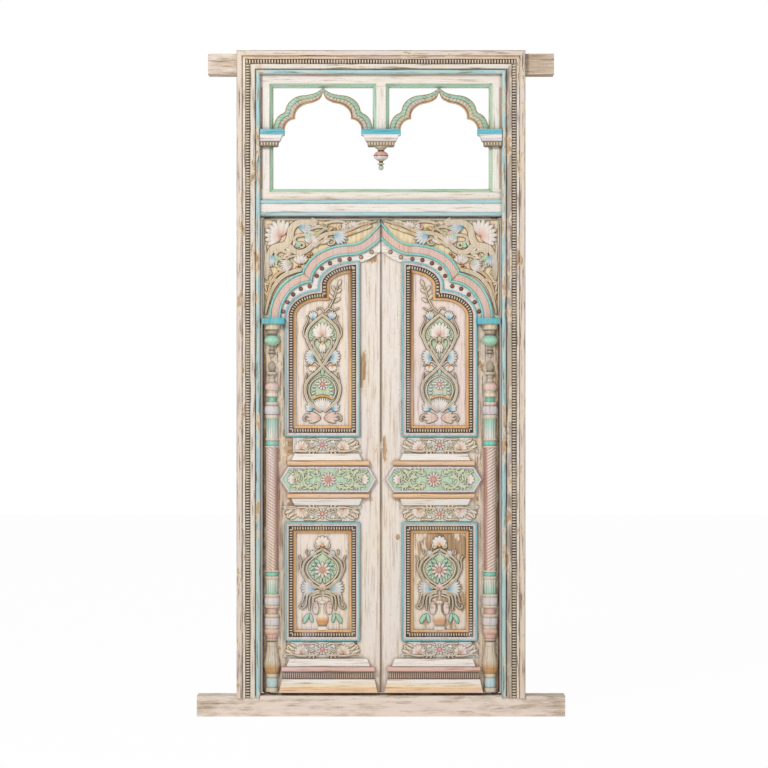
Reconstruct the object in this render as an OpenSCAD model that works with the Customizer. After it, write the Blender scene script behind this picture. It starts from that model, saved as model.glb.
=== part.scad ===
// Carved double door in its frame, with a fanlight over two leaves.
// Millimetres. The front faces -Y, and the middle of the sill's underside is the origin.

/* [Frame] */
// Clear width between the jambs
opening_w = 968; // [920:1:1100]
// Clear height from the sill to the transom bar
door_h = 1924; // [1880:1:2100]
// Height of the transom bar
transom_h = 64; // [56:1:90]
// Clear height of the fanlight
fanlight_h = 504; // [480:1:600]
// Face width of the jambs and of the head casing
jamb_w = 94; // [90:1:120]
// Depth of the frame from front to back
frame_d = 100; // [98:1:130]
// Thickness of the moulded front layer
casing_t = 24; // [20:1:28]
// Length of the sill
sill_w = 1476; // [1380:1:1600]
// Height of the sill
sill_h = 82; // [70:1:110]
// Distance of the sill's face behind the front
sill_setback = 12; // [10:0.5:14]
// How far the front layer laps over the sill's face
casing_lap = 8; // [4:1:14]
// Length of the head beam
beam_w = 1388; // [1300:1:1500]
// Height of the head beam
beam_h = 83; // [70:1:90]
// Distance of the transom bar's face behind the front
transom_setback = 14; // [8:1:16]
// Length of the tenons on posts and bars
tenon_l = 36; // [20:1:40]

/* [Front layer] */
// Width of the outer fillet
fillet_w = 22; // [16:1:26]
// Width of the flat beside the fillet
flat_w = 13; // [8:1:16]
// Width of the seat for the bead strip
bead_seat_w = 20; // [16:1:22]
// Depth of the bead seat below the front
bead_seat_d = 10; // [8:0.5:12]
// Width of the round nosing at the inner edge
nosing_w = 18; // [14:1:20]
// Length of one bead with its groove
bead_pitch = 11.25; // [9:0.25:16]

/* [Fanlight] */
// Face width of the sash stiles and the top rail
sash_w = 51; // [44:1:60]
// Face width of the sash's bottom rail
sash_foot = 46; // [40:1:60]
// Thickness of the sash
sash_t = 36; // [32:1:44]
// Distance of the sash's face behind the front
sash_setback = 28; // [26:1:32]
// Width of the bevel round each light
bevel_w = 15; // [10:1:18]
// Face width of the mullion
mullion_w = 67; // [56:1:80]
// Height of the arches over the capitals
light_rise = 170; // [150:1:190]
// Thickness of the fretwork arches
fret_t = 20; // [14:1:24]
// How far the capitals reach into the lights
bracket_reach = 46; // [36:1:56]
// Height of the flat top slab of the capitals
abacus_h = 22; // [16:1:28]
// Height of the capitals under the slab
bracket_h = 46; // [36:1:60]
// Distance of the capitals' face behind the frame's front
bracket_setback = 4; // [3:1:8]
// Radius of the pendant's ball
pendant_r = 30; // [24:1:32]

/* [Leaves] */
// Thickness of stiles and rails
leaf_t = 42; // [38:1:46]
// Distance of the leaves' face behind the frame's front
leaf_setback = 54; // [52:0.5:56]
// Gap between the rounded heel and the jamb
heel_gap = 4.5; // [2:0.5:6]
// Gap between the two leaves
meeting_gap = 2; // [2:0.5:10]
// Distance that the raised arch stays back from the meeting edge
arch_back = 1.5; // [1:0.1:4]
// Gap over the leaves
top_gap = 7; // [4:1:12]
// Gap under the leaves
bottom_gap = 8; // [4:1:12]
// Radius of the pivot pins
pivot_r = 14; // [10:1:16]
// Length of the pivot pins inside their sockets
pivot_l = 36; // [24:1:44]
// Running clearance round the pivot pins
pivot_clear = 0.06; // [0.02:0.01:0.1]
// Clearance at the end of the pivot pins
pivot_end_clear = 0.3; // [0.2:0.1:0.8]
// Width of the hinge stile
hinge_stile_w = 103; // [98:1:110]
// Width of the meeting stile
meeting_stile_w = 94; // [88:1:110]
// Height of the bottom rail
bottom_rail_h = 219; // [214:1:240]
// Height of the lower panel's opening
lower_panel_h = 457; // [440:1:480]
// Height of the lock rail
lock_rail_h = 364; // [358:1:380]
// Height of the leaf's head, from the arch's spring to the top
head_h = 403; // [394:1:412]
// Height of the top rail at the meeting stile, as a share of the head
top_rail_share = 0.4541; // [0.44:0.0001:0.47]
// Thickness of the panels
panel_t = 14; // [10:1:16]
// Distance of the panels behind the leaf's face
panel_recess = 16; // [12:1:18]
// Depth of the grooves that hold the panels
groove_d = 8; // [5:1:10]

/* [Cusped panel head] */
// Distance of the panel's cusp from the arch's cusp
cusp_gap = 34; // [30:0.5:40]
// Height of the lower lobe, as a share of the head
lobe_h_share = 0.2432; // [0.21:0.0001:0.26]
// Straight step between the lobes, as a share of the head
lobe_step_share = 0.0695; // [0.05:0.0005:0.085]
// Height of the upper lobe, as a share of the head
crown_h_share = 0.2134; // [0.19:0.0001:0.23]

/* [Arch] */
// Distance of the arch's spring from the heel
arch_u = 75; // [70:1:80]
// Width of the arch's lower lobe, as a share of the arch's width
arch_lobe_share = 0.3172; // [0.29:0.0002:0.34]
// Height of the arch's lower lobe, as a share of the head
arch_lobe_h_share = 0.3573; // [0.34:0.0001:0.38]
// Step at the cusp, as a share of the head
arch_step_share = 0.0149; // [0.008:0.0001:0.022]
// Width of the arch's upper lobe, as a share of the arch's width
arch_crown_share = 0.3792; // [0.35:0.0002:0.4]
// Height of the arch's upper lobe, as a share of the head
arch_crown_h_share = 0.2556; // [0.24:0.0001:0.27]
// Rise of the last reversed curve to the point, as a share of the head
ogee_share = 0.1588; // [0.13:0.0001:0.175]
// Width of the arch band
band_w = 46; // [38:1:50]
// Thickness of the arch band
band_t = 14; // [10:1:18]
// Width of the raised edges of the arch band
edge_w = 6; // [4:0.5:8]
// Height of the raised edges over the band
edge_t = 4; // [2:0.5:6]
// Width of the studded band on the meeting stile
stud_band_w = 34; // [28:1:38]
// Thickness of the studded band
stud_band_t = 6; // [4:0.5:9]
// Radius of the studs
stud_r = 8; // [6:0.5:8.5]
// Height of the domed studs
stud_h = 5; // [3:0.5:7]
// Studs along the arch on each leaf
stud_count = 12; // [9:1:12]

/* [Panel mouldings] */
// Overlap of the mouldings on stiles and rails
lip_w = 10; // [8:0.5:12]
// Height of the lip over the leaf's face
lip_t = 13; // [10:0.5:16]
// Width of the step inside the lip
cove_w = 8; // [6:0.5:10]
// Width of the bead row's seat
row_w = 13; // [10:0.5:15]
// Width of the inner fillet
inner_w = 13; // [10:0.5:15]
// Length of one small bead with its groove
row_pitch = 8; // [6:0.25:12]
// Height of the small beads
row_t = 4; // [2:0.5:6]

/* [Carving] */
// Height of the panel carvings
carving_t = 11; // [8:0.5:14]
// Height of the spandrel carvings
spandrel_t = 16; // [10:0.5:20]
// Height of the friezes' ground
frieze_ground = 4; // [2:0.5:6]
// Height of the friezes' relief over the ground
frieze_t = 10; // [6:0.5:14]
// Height of the friezes
frieze_h = 60; // [54:1:64]
// How much longer than the panel's width the friezes are
frieze_over = 10.5; // [0:0.5:16]

/* [Mouldings and foot] */
// How much longer than the panel's width the centre plate is
plate_over = 104.5; // [90:0.5:108]
// Height of the centre plate
plate_h = 104; // [96:1:110]
// Thickness of the centre plate
plate_t = 14; // [10:1:18]
// Radius of the round mouldings beside the centre plate
torus_r = 9.5; // [8:0.5:11]
// How much longer than the panel's width these round mouldings are
torus_over = 46.5; // [30:0.5:68]
// Height of the foot's sloping block
foot_h = 52; // [44:1:56]
// How much longer than the panel's width the foot is
foot_over = 112.5; // [100:0.5:114]
// How far the foot stands out at its base
foot_d = 40; // [36:1:42]
// Height of the fluted strip
flute_h = 29; // [24:1:32]
// Length of one flute
flute_pitch = 8.3; // [7:0.1:12]
// Distance of the foot over the leaf's lower edge
foot_gap = 6; // [3:1:8]
// Gap between neighbouring strips on the rails
strip_gap = 4; // [2:0.5:6]
// Distance of the centre plate's middle from the panel's middle
plate_shift = 24; // [16:1:28]

/* [Columns] */
// Distance of the column's axis from the heel
column_u = 41; // [40:0.5:42]
// Radius of the spiral shaft
shaft_r = 24; // [20:0.5:26]
// Upright distance of the spiral grooves
spiral_pitch = 17.5; // [14:0.5:24]
// Width of the spiral grooves
spiral_w = 5; // [3:0.5:7]
// Depth of the spiral grooves
spiral_d = 3; // [1.5:0.5:4]
// Gap between the column and the drop of its capital
column_gap = 13; // [6:1:16]
// Height of the capital's flat slab
slab_h = 24; // [18:1:28]

/* [Hidden] */
$fn = 48;
half = opening_w / 2;
front = -frame_d / 2;
back = frame_d / 2;
layer_y = front + casing_t;
transom_z = sill_h + door_h;
sash_z = transom_z + transom_h;
head_z = sash_z + fanlight_h;
frame_h = head_z + jamb_w;
sash_y = front + sash_setback;
light_top = head_z - sash_w;
bracket_t = sash_setback - bracket_setback;
bracket_mid = front + bracket_setback + (bracket_t + sash_t) / 2;
bracket_z = light_top - light_rise;
leaf_w = half - meeting_gap / 2 - heel_gap;
leaf_h = door_h - top_gap - bottom_gap;
leaf_y = front + leaf_setback;
leaf_z = sill_h + bottom_gap;
heel_r = leaf_t / 2;
socket_r = pivot_r + pivot_clear;
socket_d = pivot_l + pivot_end_clear;
field_u0 = hinge_stile_w;
field_u1 = leaf_w - meeting_stile_w;
field_w = field_u1 - field_u0;
field_mid = (field_u0 + field_u1) / 2;
spring_v = leaf_h - head_h;
top_rail_h = head_h * top_rail_share;
lobe_h = head_h * lobe_h_share;
lobe_step = head_h * lobe_step_share;
crown_h = head_h * crown_h_share;
arch_w = leaf_w - arch_u;
arch_lobe_w = arch_w * arch_lobe_share;
arch_lobe_h = head_h * arch_lobe_h_share;
lobe_w = arch_u + arch_lobe_w + cusp_gap - field_u0;
arch_step = head_h * arch_step_share;
arch_crown_w = arch_w * arch_crown_share;
arch_crown_h = head_h * arch_crown_h_share;
ogee_h = head_h * ogee_share;
frieze_w = field_w + frieze_over;
plate_w = field_w + plate_over;
torus_w = field_w + torus_over;
foot_w = field_w + foot_over;
lower_v0 = bottom_rail_h;
lower_v1 = lower_v0 + lower_panel_h;
upper_v0 = lower_v1 + lock_rail_h;
upper_v1 = leaf_h - top_rail_h;
cusp_u = field_u0 + lobe_w;
crown_v = upper_v1 - crown_h;
lobe_v = crown_v - lobe_step - lobe_h;
panel_back = panel_recess + panel_t;
inset = cove_w + row_w + inner_w;
plate_v = (lower_v1 + upper_v0) / 2;
plate_u = field_mid + plate_shift;
slope_mid = lock_rail_h / 2 - lip_w - frieze_h - 2 * torus_r - plate_h / 2 - 3 * strip_gap;
slope_foot = bottom_rail_h - lip_w - frieze_h - 2 * torus_r - flute_h - foot_h - foot_gap - 3 * strip_gap;
capital_v = spring_v - slab_h;
post_t = back - layer_y;
eps = 0.01;

// Carvings are drawn for these widths and heights, and follow their grounds
upper_scale = [field_w / 281.5, (lobe_v - upper_v0 - inset) / 440];
lower_scale = [field_w / 281.5, lower_panel_h / 457];
spandrel_scale = [leaf_w / 478.5, head_h / 403];
frieze_scale = [frieze_w / 292, frieze_h / 60];
plate_scale = [plate_w / 386, plate_h / 104];
stud_scale = min(1, spandrel_scale[0], spandrel_scale[1]);
column_scale = shaft_r / 24;

leaf_nodes = [
    "hinge_stile", "meeting_stile", "top_rail", "lock_rail", "bottom_rail", "upper_panel", "lower_panel",
    "spandrel", "arch_band", "studded_band", "arch_studs", "upper_moulding", "lower_moulding",
    "panel_beads", "upper_carving", "lower_carving", "centre_plate", "cornices", "friezes", "plinth",
    "column_capital", "column"
];

// Points and curves

function lerp(a, b, t) = a + (b - a) * t;

// Part of an ellipse as points
function bow(c, a, b, from, to, n = 8) =
    [for (k = [0:n]) let (t = lerp(from, to, k / n)) c + [a * cos(t), b * sin(t)]];

// Point on the smooth curve between p[i] and p[i + 1]
function on_curve(p, i, t) =
    let (
        a = p[max(i - 1, 0)],
        b = p[i],
        c = p[i + 1],
        d = p[min(i + 2, len(p) - 1)]
    )
    0.5 * (2 * b + (c - a) * t + (2 * a - 5 * b + 4 * c - d) * t * t + (3 * b - a - 3 * c + d) * t * t * t);

function smooth(p, n = 3) =
    [for (i = [0:len(p) - 2]) for (k = [0:n - 1]) on_curve(p, i, k / n), p[len(p) - 1]];

function along(p, i) = let (d = p[min(i + 1, len(p) - 1)] - p[max(i - 1, 0)]) d / norm(d);
function across(p, i) = let (t = along(p, i)) [-t[1], t[0]];

// Length of a row of points up to point i
function run(p, i) = i == 0 ? 0 : run(p, i - 1) + norm(p[i] - p[i - 1]);

// Place and left-hand direction at a distance s along a row of points
function spot(p, s, i = 0) =
    let (d = norm(p[i + 1] - p[i]))
    s <= d || i == len(p) - 2 ?
        let (t = (p[i + 1] - p[i]) / d) [p[i] + t * min(s, d), [-t[1], t[0]]] :
        spot(p, s - d, i + 1);

// Row of teeth along points, with a thin spine on its right-hand side
function toothed(p, w, pitch) =
    let (
        total = run(p, len(p) - 1),
        n = max(1, floor(total / pitch)),
        step = total / n,
        up = [for (k = [0:n - 1]) for (f = [0, 0.14, 0.86])
            let (q = spot(p, (k + f) * step)) q[0] + q[1] * (f > 0 ? w / 2 : -w * 0.3)],
        down = [for (i = [len(p) - 1:-1:0]) p[i] - across(p, i) * w / 2]
    )
    concat(up, down);

// Flat shapes for carving

module vine(p, w0, w1, n = 3) {
    q = smooth(p, n);
    m = len(q) - 1;
    polygon([
        for (i = [0:m]) q[i] + across(q, i) * lerp(w0, w1, i / m) / 2,
        for (i = [m:-1:0]) q[i] - across(q, i) * lerp(w0, w1, i / m) / 2
    ]);
}

module petal(l, w, n = 5) {
    polygon([
        for (k = [0:n]) [w / 2 * sqrt(sin(180 * k / n)), l * k / n],
        for (k = [n - 1:-1:1]) [-w / 2 * sqrt(sin(180 * k / n)), l * k / n]
    ]);
}

// Petals that spread from one root, pointing up
module fan(n, l, spread, w = 0) {
    pw = w > 0 ? w : 0.8 * l * spread / max(n - 1, 1) * PI / 180;
    for (k = [0:n - 1]) {
        a = n > 1 ? lerp(spread / 2, -spread / 2, k / (n - 1)) : 0;
        rotate(a) petal(l * (1 - 0.12 * abs(a) / 90), pw);
    }
}

module rosette(n, r) {
    for (k = [0:n - 1]) {
        rotate(360 * k / n) translate([0, r * 0.36]) petal(r * 0.64, r * 0.56);
    }
    circle(r * 0.3, $fn = 12);
}

module volute(r, turns, w, hand = 1, from = 0) {
    n = ceil(turns * 9);
    turn = hand * 360 * turns / n;
    q = [for (k = [0:n]) lerp(r, r * 0.22, k / n) * [cos(from + turn * k), sin(from + turn * k)]];
    vine(q, w, w * 0.7, 1);
}

module both() {
    children();
    mirror([1, 0]) children();
}

// Joins flat shapes into one clean outline
module drawn() {
    offset(delta = eps) children();
}

// Solids

// Flat shape drawn as seen from the front, from depth y toward the front by t
module relief(y, t) {
    translate([0, y, 0]) rotate([90, 0, 0]) linear_extrude(t) children();
}

// Section drawn as depth and height, run along X from x0 by l
module moulding(x0, l) {
    translate([x0, 0, 0]) rotate([90, 0, 90]) linear_extrude(l) children();
}

module block(p, q) {
    translate(p) cube(q - p);
}

// Bar with a sloping face: wide and proud at its foot, narrower at its top
module sloped(u, w0, w1, v0, v1, d0, d1) {
    hull() {
        block([u - w0 / 2, -d0, v0], [u + w0 / 2, 0, v0 + 1]);
        block([u - w1 / 2, -d1, v1 - 1], [u + w1 / 2, 0, v1]);
    }
}

// Puts a leaf drawn from its heel and foot into its place
module leaf(side) {
    mirror([side == "right" ? 1 : 0, 0, 0]) translate([-half + heel_gap, leaf_y, leaf_z]) children();
}

module twin() {
    children();
    mirror([1, 0, 0]) children();
}

// Frame

// Section of the front layer: distance from the outer edge, depth behind the front
function layer_section() =
    let (
        x1 = fillet_w,
        x2 = x1 + flat_w,
        x3 = x2 + bead_seat_w,
        x4 = jamb_w - nosing_w,
        r = nosing_w / 2
    )
    concat(
        [[0, casing_t], [0, 4], [4, 0], [x1 - 3, 0], [x1, 3], [x1, 6], [x2, 6]],
        [[x2, bead_seat_d], [x3, bead_seat_d], [x3, 4], [x4 - 4, 9], [x4, 14]],
        bow([x4 + r, 14], r, r, 180, 360, 8),
        [[jamb_w, casing_t]]
    );

module socket(z, down) {
    translate([half - heel_gap - heel_r, leaf_y + heel_r, down ? z - socket_d : z])
        cylinder(r = socket_r, h = socket_d);
}

module post_tenon(z) {
    block(
        [half + jamb_w * 0.25, layer_y + post_t * 0.35, z],
        [half + jamb_w * 0.75, layer_y + post_t * 0.65, z + tenon_l]
    );
}

module bar_tenon() {
    block(
        [half, layer_y + post_t * 0.4, transom_z + 14],
        [half + tenon_l, layer_y + post_t * 0.7, sash_z - 14]
    );
}

module sill() {
    color("#b9a48c") difference() {
        block([-sill_w / 2, front + sill_setback, 0], [sill_w / 2, back, sill_h]);
        twin() post_tenon(sill_h - tenon_l);
        twin() socket(sill_h, true);
    }
}

module head_beam() {
    color("#a99480") difference() {
        block([-beam_w / 2, layer_y, head_z], [beam_w / 2, back, head_z + beam_h]);
        twin() post_tenon(head_z);
    }
}

module mitre() {
    relief(layer_y + 1, casing_t + 2) polygon([
        [half, head_z],
        [half + jamb_w, frame_h],
        [half + jamb_w, frame_h + jamb_w],
        [half - jamb_w, frame_h + jamb_w],
        [half - jamb_w, head_z]
    ]);
}

module jamb() {
    difference() {
        union() {
            difference() {
                translate([half + jamb_w, front, sill_h - casing_lap]) mirror([1, 0, 0])
                    linear_extrude(frame_h - sill_h + casing_lap) polygon(layer_section());
                mitre();
                block([0, front + sill_setback, 0], [sill_w, back, sill_h]);
            }
            block([half, layer_y, sill_h], [half + jamb_w, back, head_z]);
            post_tenon(sill_h - tenon_l);
            post_tenon(head_z);
        }
        bar_tenon();
    }
}

module right_jamb() {
    color("#e8ddd0") jamb();
}

module left_jamb() {
    color("#e8ddd0") mirror([1, 0, 0]) jamb();
}

module head_casing() {
    color("#e8ddd0") intersection() {
        translate([-half - jamb_w, front, frame_h]) rotate([0, 90, 0])
            linear_extrude(opening_w + 2 * jamb_w) polygon(layer_section());
        relief(layer_y + 1, casing_t + 2) polygon([
            [-half, head_z],
            [half, head_z],
            [half + jamb_w, frame_h],
            [-half - jamb_w, frame_h]
        ]);
    }
}

// Beads stand in their seat, as one toothed strip on each side and over the head
module bead_strips() {
    strip = bead_seat_w - 1;
    mid = half + jamb_w - fillet_w - flat_w - bead_seat_w / 2;
    top = head_z + mid - half;
    foot = sill_h - casing_lap;
    color("#d9c7ae") relief(front + bead_seat_d, bead_seat_d - 3) {
        polygon(toothed([[mid, foot], [mid, top - strip / 2 - 1]], strip, bead_pitch));
        polygon(toothed([[-mid, top - strip / 2 - 1], [-mid, foot]], strip, bead_pitch));
        polygon(toothed([[mid + strip / 2, top], [-mid - strip / 2, top]], strip, bead_pitch));
    }
}

module transom_bar() {
    r = transom_h * 0.12;
    y0 = front + transom_setback;
    color("#e9dfd2") difference() {
        union() {
            moulding(-half, opening_w) polygon(concat(
                [[back, transom_z], [back, sash_z]],
                bow([y0 + r, sash_z - r], r, r, 90, 270, 8),
                [[y0 + r * 0.7, sash_z - 2 * r], [y0 + r * 0.7, transom_z + 2 * r]],
                bow([y0 + r, transom_z + r], r, r, 90, 270, 8)
            ));
            twin() bar_tenon();
        }
        twin() socket(transom_z, false);
    }
}

// Fanlight

// Cutter for the bevel round an opening from x0 to x1 and z0 to z1
module bevel(x0, x1, z0, z1) {
    b = bevel_w;
    hull() {
        block([x0 - b - 1, sash_y - 1, z0 - b - 1], [x1 + b + 1, sash_y - 1 + eps, z1 + b + 1]);
        block([x0, sash_y + b - eps, z0], [x1, sash_y + b, z1]);
    }
}

module bevel_light() {
    bevel(mullion_w / 2, half - sash_w, sash_z + sash_foot, light_top);
}

module fanlight_top_rail() {
    color("#ede6da") difference() {
        block([-half, sash_y, light_top], [half, sash_y + sash_t, head_z]);
        twin() bevel_light();
    }
}

module fanlight_bottom_rail() {
    color("#ede6da") difference() {
        block([-half, sash_y, sash_z], [half, sash_y + sash_t, sash_z + sash_foot]);
        bevel(-half + sash_w, half - sash_w, sash_z + sash_foot, light_top);
    }
}

module sash_stile() {
    difference() {
        block([half - sash_w, sash_y, sash_z + sash_foot], [half, sash_y + sash_t, light_top]);
        bevel_light();
    }
}

module fanlight_right_stile() {
    color("#ede6da") sash_stile();
}

module fanlight_left_stile() {
    color("#ede6da") mirror([1, 0, 0]) sash_stile();
}

module fanlight_mullion() {
    color("#ede6da") difference() {
        block([-mullion_w / 2, sash_y, bracket_z], [mullion_w / 2, sash_y + sash_t, light_top]);
        twin() bevel_light();
    }
}

// Half of a cusped fretwork arch, its point at the origin's right-hand side
module fret_half(span, rise, foot) {
    a = span - foot;
    tip = span * 0.56;
    kx = span * 0.76;
    outer = concat(
        bow([-kx, 0], span - kx, rise * 0.4, 180, 100, 6),
        bow([-kx + span * 0.4, rise * 0.42], span * 0.4, rise * 0.4, 176, 90, 6),
        smooth([[-span * 0.3, rise * 0.83], [-span * 0.14, rise * 0.88], [0, rise]])
    );
    inner = concat(
        bow([-tip, 0], a - tip, rise * 0.26, 180, 90, 5),
        bow([-tip + span * 0.36, rise * 0.32], span * 0.36, rise * 0.32, 184, 100, 6),
        smooth([[-span * 0.2, rise * 0.65], [-span * 0.06, rise * 0.74], [0, rise * 0.9]])
    );
    polygon(concat(outer, [for (i = [len(inner) - 1:-1:0]) inner[i]]));
}

module fanlight_arches() {
    span = (half - sash_w - mullion_w / 2) / 2;
    mid = mullion_w / 2 + span;
    y = sash_y + sash_t * 0.5 + fret_t / 2;
    color("#bcd6c2") relief(y, fret_t) twin() translate([mid, bracket_z + 2 * eps]) drawn() {
        both() fret_half(span - 2 * eps, light_rise - 4 * eps, bracket_reach);
    }
}

// Front outline of a capital on the right of a line at 0, with its slab's half width w
module capital_outline(w, root) {
    h = bracket_h;
    polygon([
        [root, 0],
        [w, 0],
        [w, -abacus_h],
        [w - 10, -abacus_h - 3],
        [w - 13, -abacus_h - h * 0.25],
        [w - 18, -abacus_h - h * 0.5],
        [w - 24, -abacus_h - h * 0.6],
        [w - 26, -abacus_h - h * 0.95],
        [w - 32, -abacus_h - h],
        [root, -abacus_h - h]
    ]);
}

module side_brackets() {
    w = sash_w + bracket_reach;
    color("#c9dfe4") twin() {
        relief(sash_y, bracket_t) translate([half, bracket_z]) mirror([1, 0]) capital_outline(w, 0);
        relief(sash_y + sash_t, sash_t) translate([half, bracket_z]) mirror([1, 0])
            capital_outline(w, sash_w);
    }
}

module centre_bracket() {
    w = mullion_w / 2 + bracket_reach;
    color("#c9dfe4") relief(sash_y + sash_t, sash_t + bracket_t) translate([0, bracket_z - eps]) drawn() {
        both() capital_outline(w - eps, -eps);
    }
}

// Turned drop: cone, ball, neck, ring and tip
module pendant() {
    r = pendant_r;
    top = bracket_z - abacus_h - bracket_h - 2 * eps;
    color("#d8b8b4") translate([0, bracket_mid, top]) rotate_extrude() polygon(concat(
        [[0, 0], [r, 0], [r * 0.5, -r * 0.4], [r * 0.4, -r * 0.6]],
        bow([0, -r * 1.25], r, r * 0.68, 60, -60, 8),
        [[r * 0.26, -r * 2], [r * 0.26, -r * 2.2], [r * 0.45, -r * 2.25]],
        [[r * 0.45, -r * 2.4], [r * 0.2, -r * 2.45]],
        bow([0, -r * 2.8], r * 0.36, r * 0.36, 60, -90, 6)
    ));
}

// Leaf frame

// Cusped opening of the upper panel, with its two lobes from the meeting side down
function crown_lobe() = bow([field_u1, crown_v], field_u1 - cusp_u, crown_h, 90, 180, 10);
function low_lobe() = bow([cusp_u, lobe_v], lobe_w, lobe_h, 90, 180, 10);
function cusped() = concat([[field_u0, upper_v0], [field_u1, upper_v0]], crown_lobe(), low_lobe());

// Points moved to their left-hand side by d
function shifted(p, d) = [for (i = [0:len(p) - 1]) p[i] + across(p, i) * d];

module lower_opening() {
    translate([field_u0, lower_v0]) square([field_u1 - field_u0, lower_panel_h]);
}

module rail_tenons(v0, v1) {
    for (u = [field_u0 - tenon_l, field_u1]) {
        block([u, leaf_t * 0.4, v0 + 24], [u + tenon_l, leaf_t * 0.65, v1 - 24]);
    }
}

module leaf_tenons() {
    rail_tenons(0, bottom_rail_h);
    rail_tenons(lower_v1, upper_v0);
    rail_tenons(upper_v1 + groove_d, leaf_h);
}

module lower_board() {
    block(
        [field_u0 - groove_d, panel_recess, lower_v0 - groove_d],
        [field_u1 + groove_d, panel_back, lower_v1 + groove_d]
    );
}

module upper_board() {
    block(
        [field_u0 - groove_d, panel_recess, upper_v0 - groove_d],
        [field_u1 + groove_d, panel_back, upper_v1 + groove_d]
    );
}

module hinge_stile(side) {
    color("#e6dacb") leaf(side) difference() {
        union() {
            block([heel_r, 0, 0], [hinge_stile_w, leaf_t, leaf_h]);
            translate([heel_r, heel_r, 0]) cylinder(r = heel_r, h = leaf_h);
            translate([heel_r, heel_r, -bottom_gap - pivot_l])
                cylinder(r = pivot_r, h = leaf_h + bottom_gap + top_gap + 2 * pivot_l);
        }
        leaf_tenons();
        lower_board();
        upper_board();
    }
}

module meeting_stile(side) {
    color("#ead9c2") leaf(side) difference() {
        block([field_u1, 0, 0], [leaf_w, leaf_t, leaf_h]);
        leaf_tenons();
        lower_board();
        upper_board();
    }
}

// Rail with the cusped lower edge, thinned behind for the panel
module top_rail(side) {
    color("#e6dacb") leaf(side) {
        relief(panel_recess, panel_recess) offset(delta = 0) difference() {
            translate([field_u0, lobe_v]) square([field_u1 - field_u0, leaf_h - lobe_v]);
            polygon(cusped());
        }
        block([field_u0, panel_recess, upper_v1 + groove_d], [field_u1, leaf_t, leaf_h]);
        rail_tenons(upper_v1 + groove_d, leaf_h);
    }
}

module lock_rail(side) {
    color("#e6dacb") leaf(side) difference() {
        union() {
            block([field_u0, 0, lower_v1], [field_u1, leaf_t, upper_v0]);
            rail_tenons(lower_v1, upper_v0);
        }
        lower_board();
        upper_board();
    }
}

module bottom_rail(side) {
    color("#e6dacb") leaf(side) difference() {
        union() {
            block([field_u0, 0, 0], [field_u1, leaf_t, bottom_rail_h]);
            rail_tenons(0, bottom_rail_h);
        }
        lower_board();
    }
}

module upper_panel(side) {
    color("#cfe0d2") leaf(side) upper_board();
}

module lower_panel(side) {
    color("#e2d6c4") leaf(side) lower_board();
}

// Panel mouldings

// Ring between two distances from the opening's edge, outward positive
module ring(out, in) {
    offset(delta = 0) difference() {
        offset(delta = out) children();
        offset(delta = in) children();
    }
}

// Stepped moulding that stands on the panel and laps over the stiles
module stepped() {
    step = panel_recess * 0.4;
    relief(panel_recess, step) ring(0, -inset) children();
    relief(panel_recess - step, panel_recess - step) ring(0, -cove_w - row_w) children();
    relief(0, 2) ring(lip_w, -cove_w - row_w) children();
    relief(-2, lip_t * 0.5) ring(lip_w, -cove_w) children();
    relief(-2 - lip_t * 0.5, lip_t * 0.5 - 2) ring(lip_w, 0) children();
}

module upper_moulding(side) {
    color("#d8e6e4") leaf(side) stepped() polygon(cusped());
}

module lower_moulding(side) {
    color("#d8e6e4") leaf(side) stepped() lower_opening();
}

// Rows of small beads on both mouldings, one toothed strip for each straight or curved run
module panel_beads(side) {
    d = cove_w + row_w / 2;
    w = row_w - 2;
    u0 = field_u0 + d;
    u1 = field_u1 - d;
    corner = [cusp_u + d, lobe_v + lobe_h - d];
    crown = [for (q = shifted(crown_lobe(), d)) if (q[0] < u1 - w) q];
    low = [for (q = shifted(low_lobe(), d)) if (q[0] < corner[0] - d) q];
    color("#e9dcc4") leaf(side) relief(-2, row_t) {
        for (b = [[lower_v0 + d, lower_v1 - d], [upper_v0 + d, lobe_v]]) {
            polygon(toothed([[u0, b[1] - w], [u0, b[0] + w]], w, row_pitch));
        }
        polygon(toothed([[u1, lower_v0 + d + w], [u1, lower_v1 - d - w]], w, row_pitch));
        polygon(toothed([[u1, upper_v0 + d + w], [u1, upper_v1 - d - w]], w, row_pitch));
        for (v = [lower_v0 + d, upper_v0 + d]) {
            polygon(toothed([[u0 - w / 2, v], [u1 + w / 2, v]], w, row_pitch));
        }
        polygon(toothed([[u1 + w / 2, lower_v1 - d], [u0 - w / 2, lower_v1 - d]], w, row_pitch));
        polygon(toothed(concat([corner + [w / 2, 0]], low), w, row_pitch));
        polygon(toothed(concat(crown, [corner + [0, w / 2 + 1]]), w, row_pitch));
    }
}

// Arch

// Inner edge of the arch from its spring past the meeting line
function arch_line() =
    let (
        c1 = [arch_u + arch_lobe_w, spring_v],
        c2 = c1 + [arch_crown_w, arch_lobe_h + arch_step],
        w = leaf_w - c2[0]
    )
    concat(
        bow(c1, arch_lobe_w, arch_lobe_h, 180, 90, 10),
        bow(c2, arch_crown_w, arch_crown_h, 180, 90, 10),
        [for (k = [1:8]) let (t = k / 6) c2 + [w * t, arch_crown_h + ogee_h * t * t]]
    );

module arch_area() {
    p = arch_line();
    polygon(concat([[arch_u, upper_v0]], p, [[p[len(p) - 1][0], upper_v0]]));
}

// Part of the leaf's face over the spring
module leaf_top(margin = 0) {
    translate([margin, spring_v]) square([leaf_w - arch_back - margin, leaf_h - spring_v]);
}

module arch_ring(out, in) {
    offset(delta = 0) intersection() {
        leaf_top();
        difference() {
            offset(delta = out) arch_area();
            offset(delta = in) arch_area();
        }
    }
}

module arch_band(side) {
    color("#e3b9ae") leaf(side) {
        relief(0, band_t) arch_ring(band_w, 0);
        relief(-band_t, edge_t) arch_ring(edge_w, 0);
        relief(-band_t, edge_t) arch_ring(band_w, band_w - edge_w);
    }
}

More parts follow.
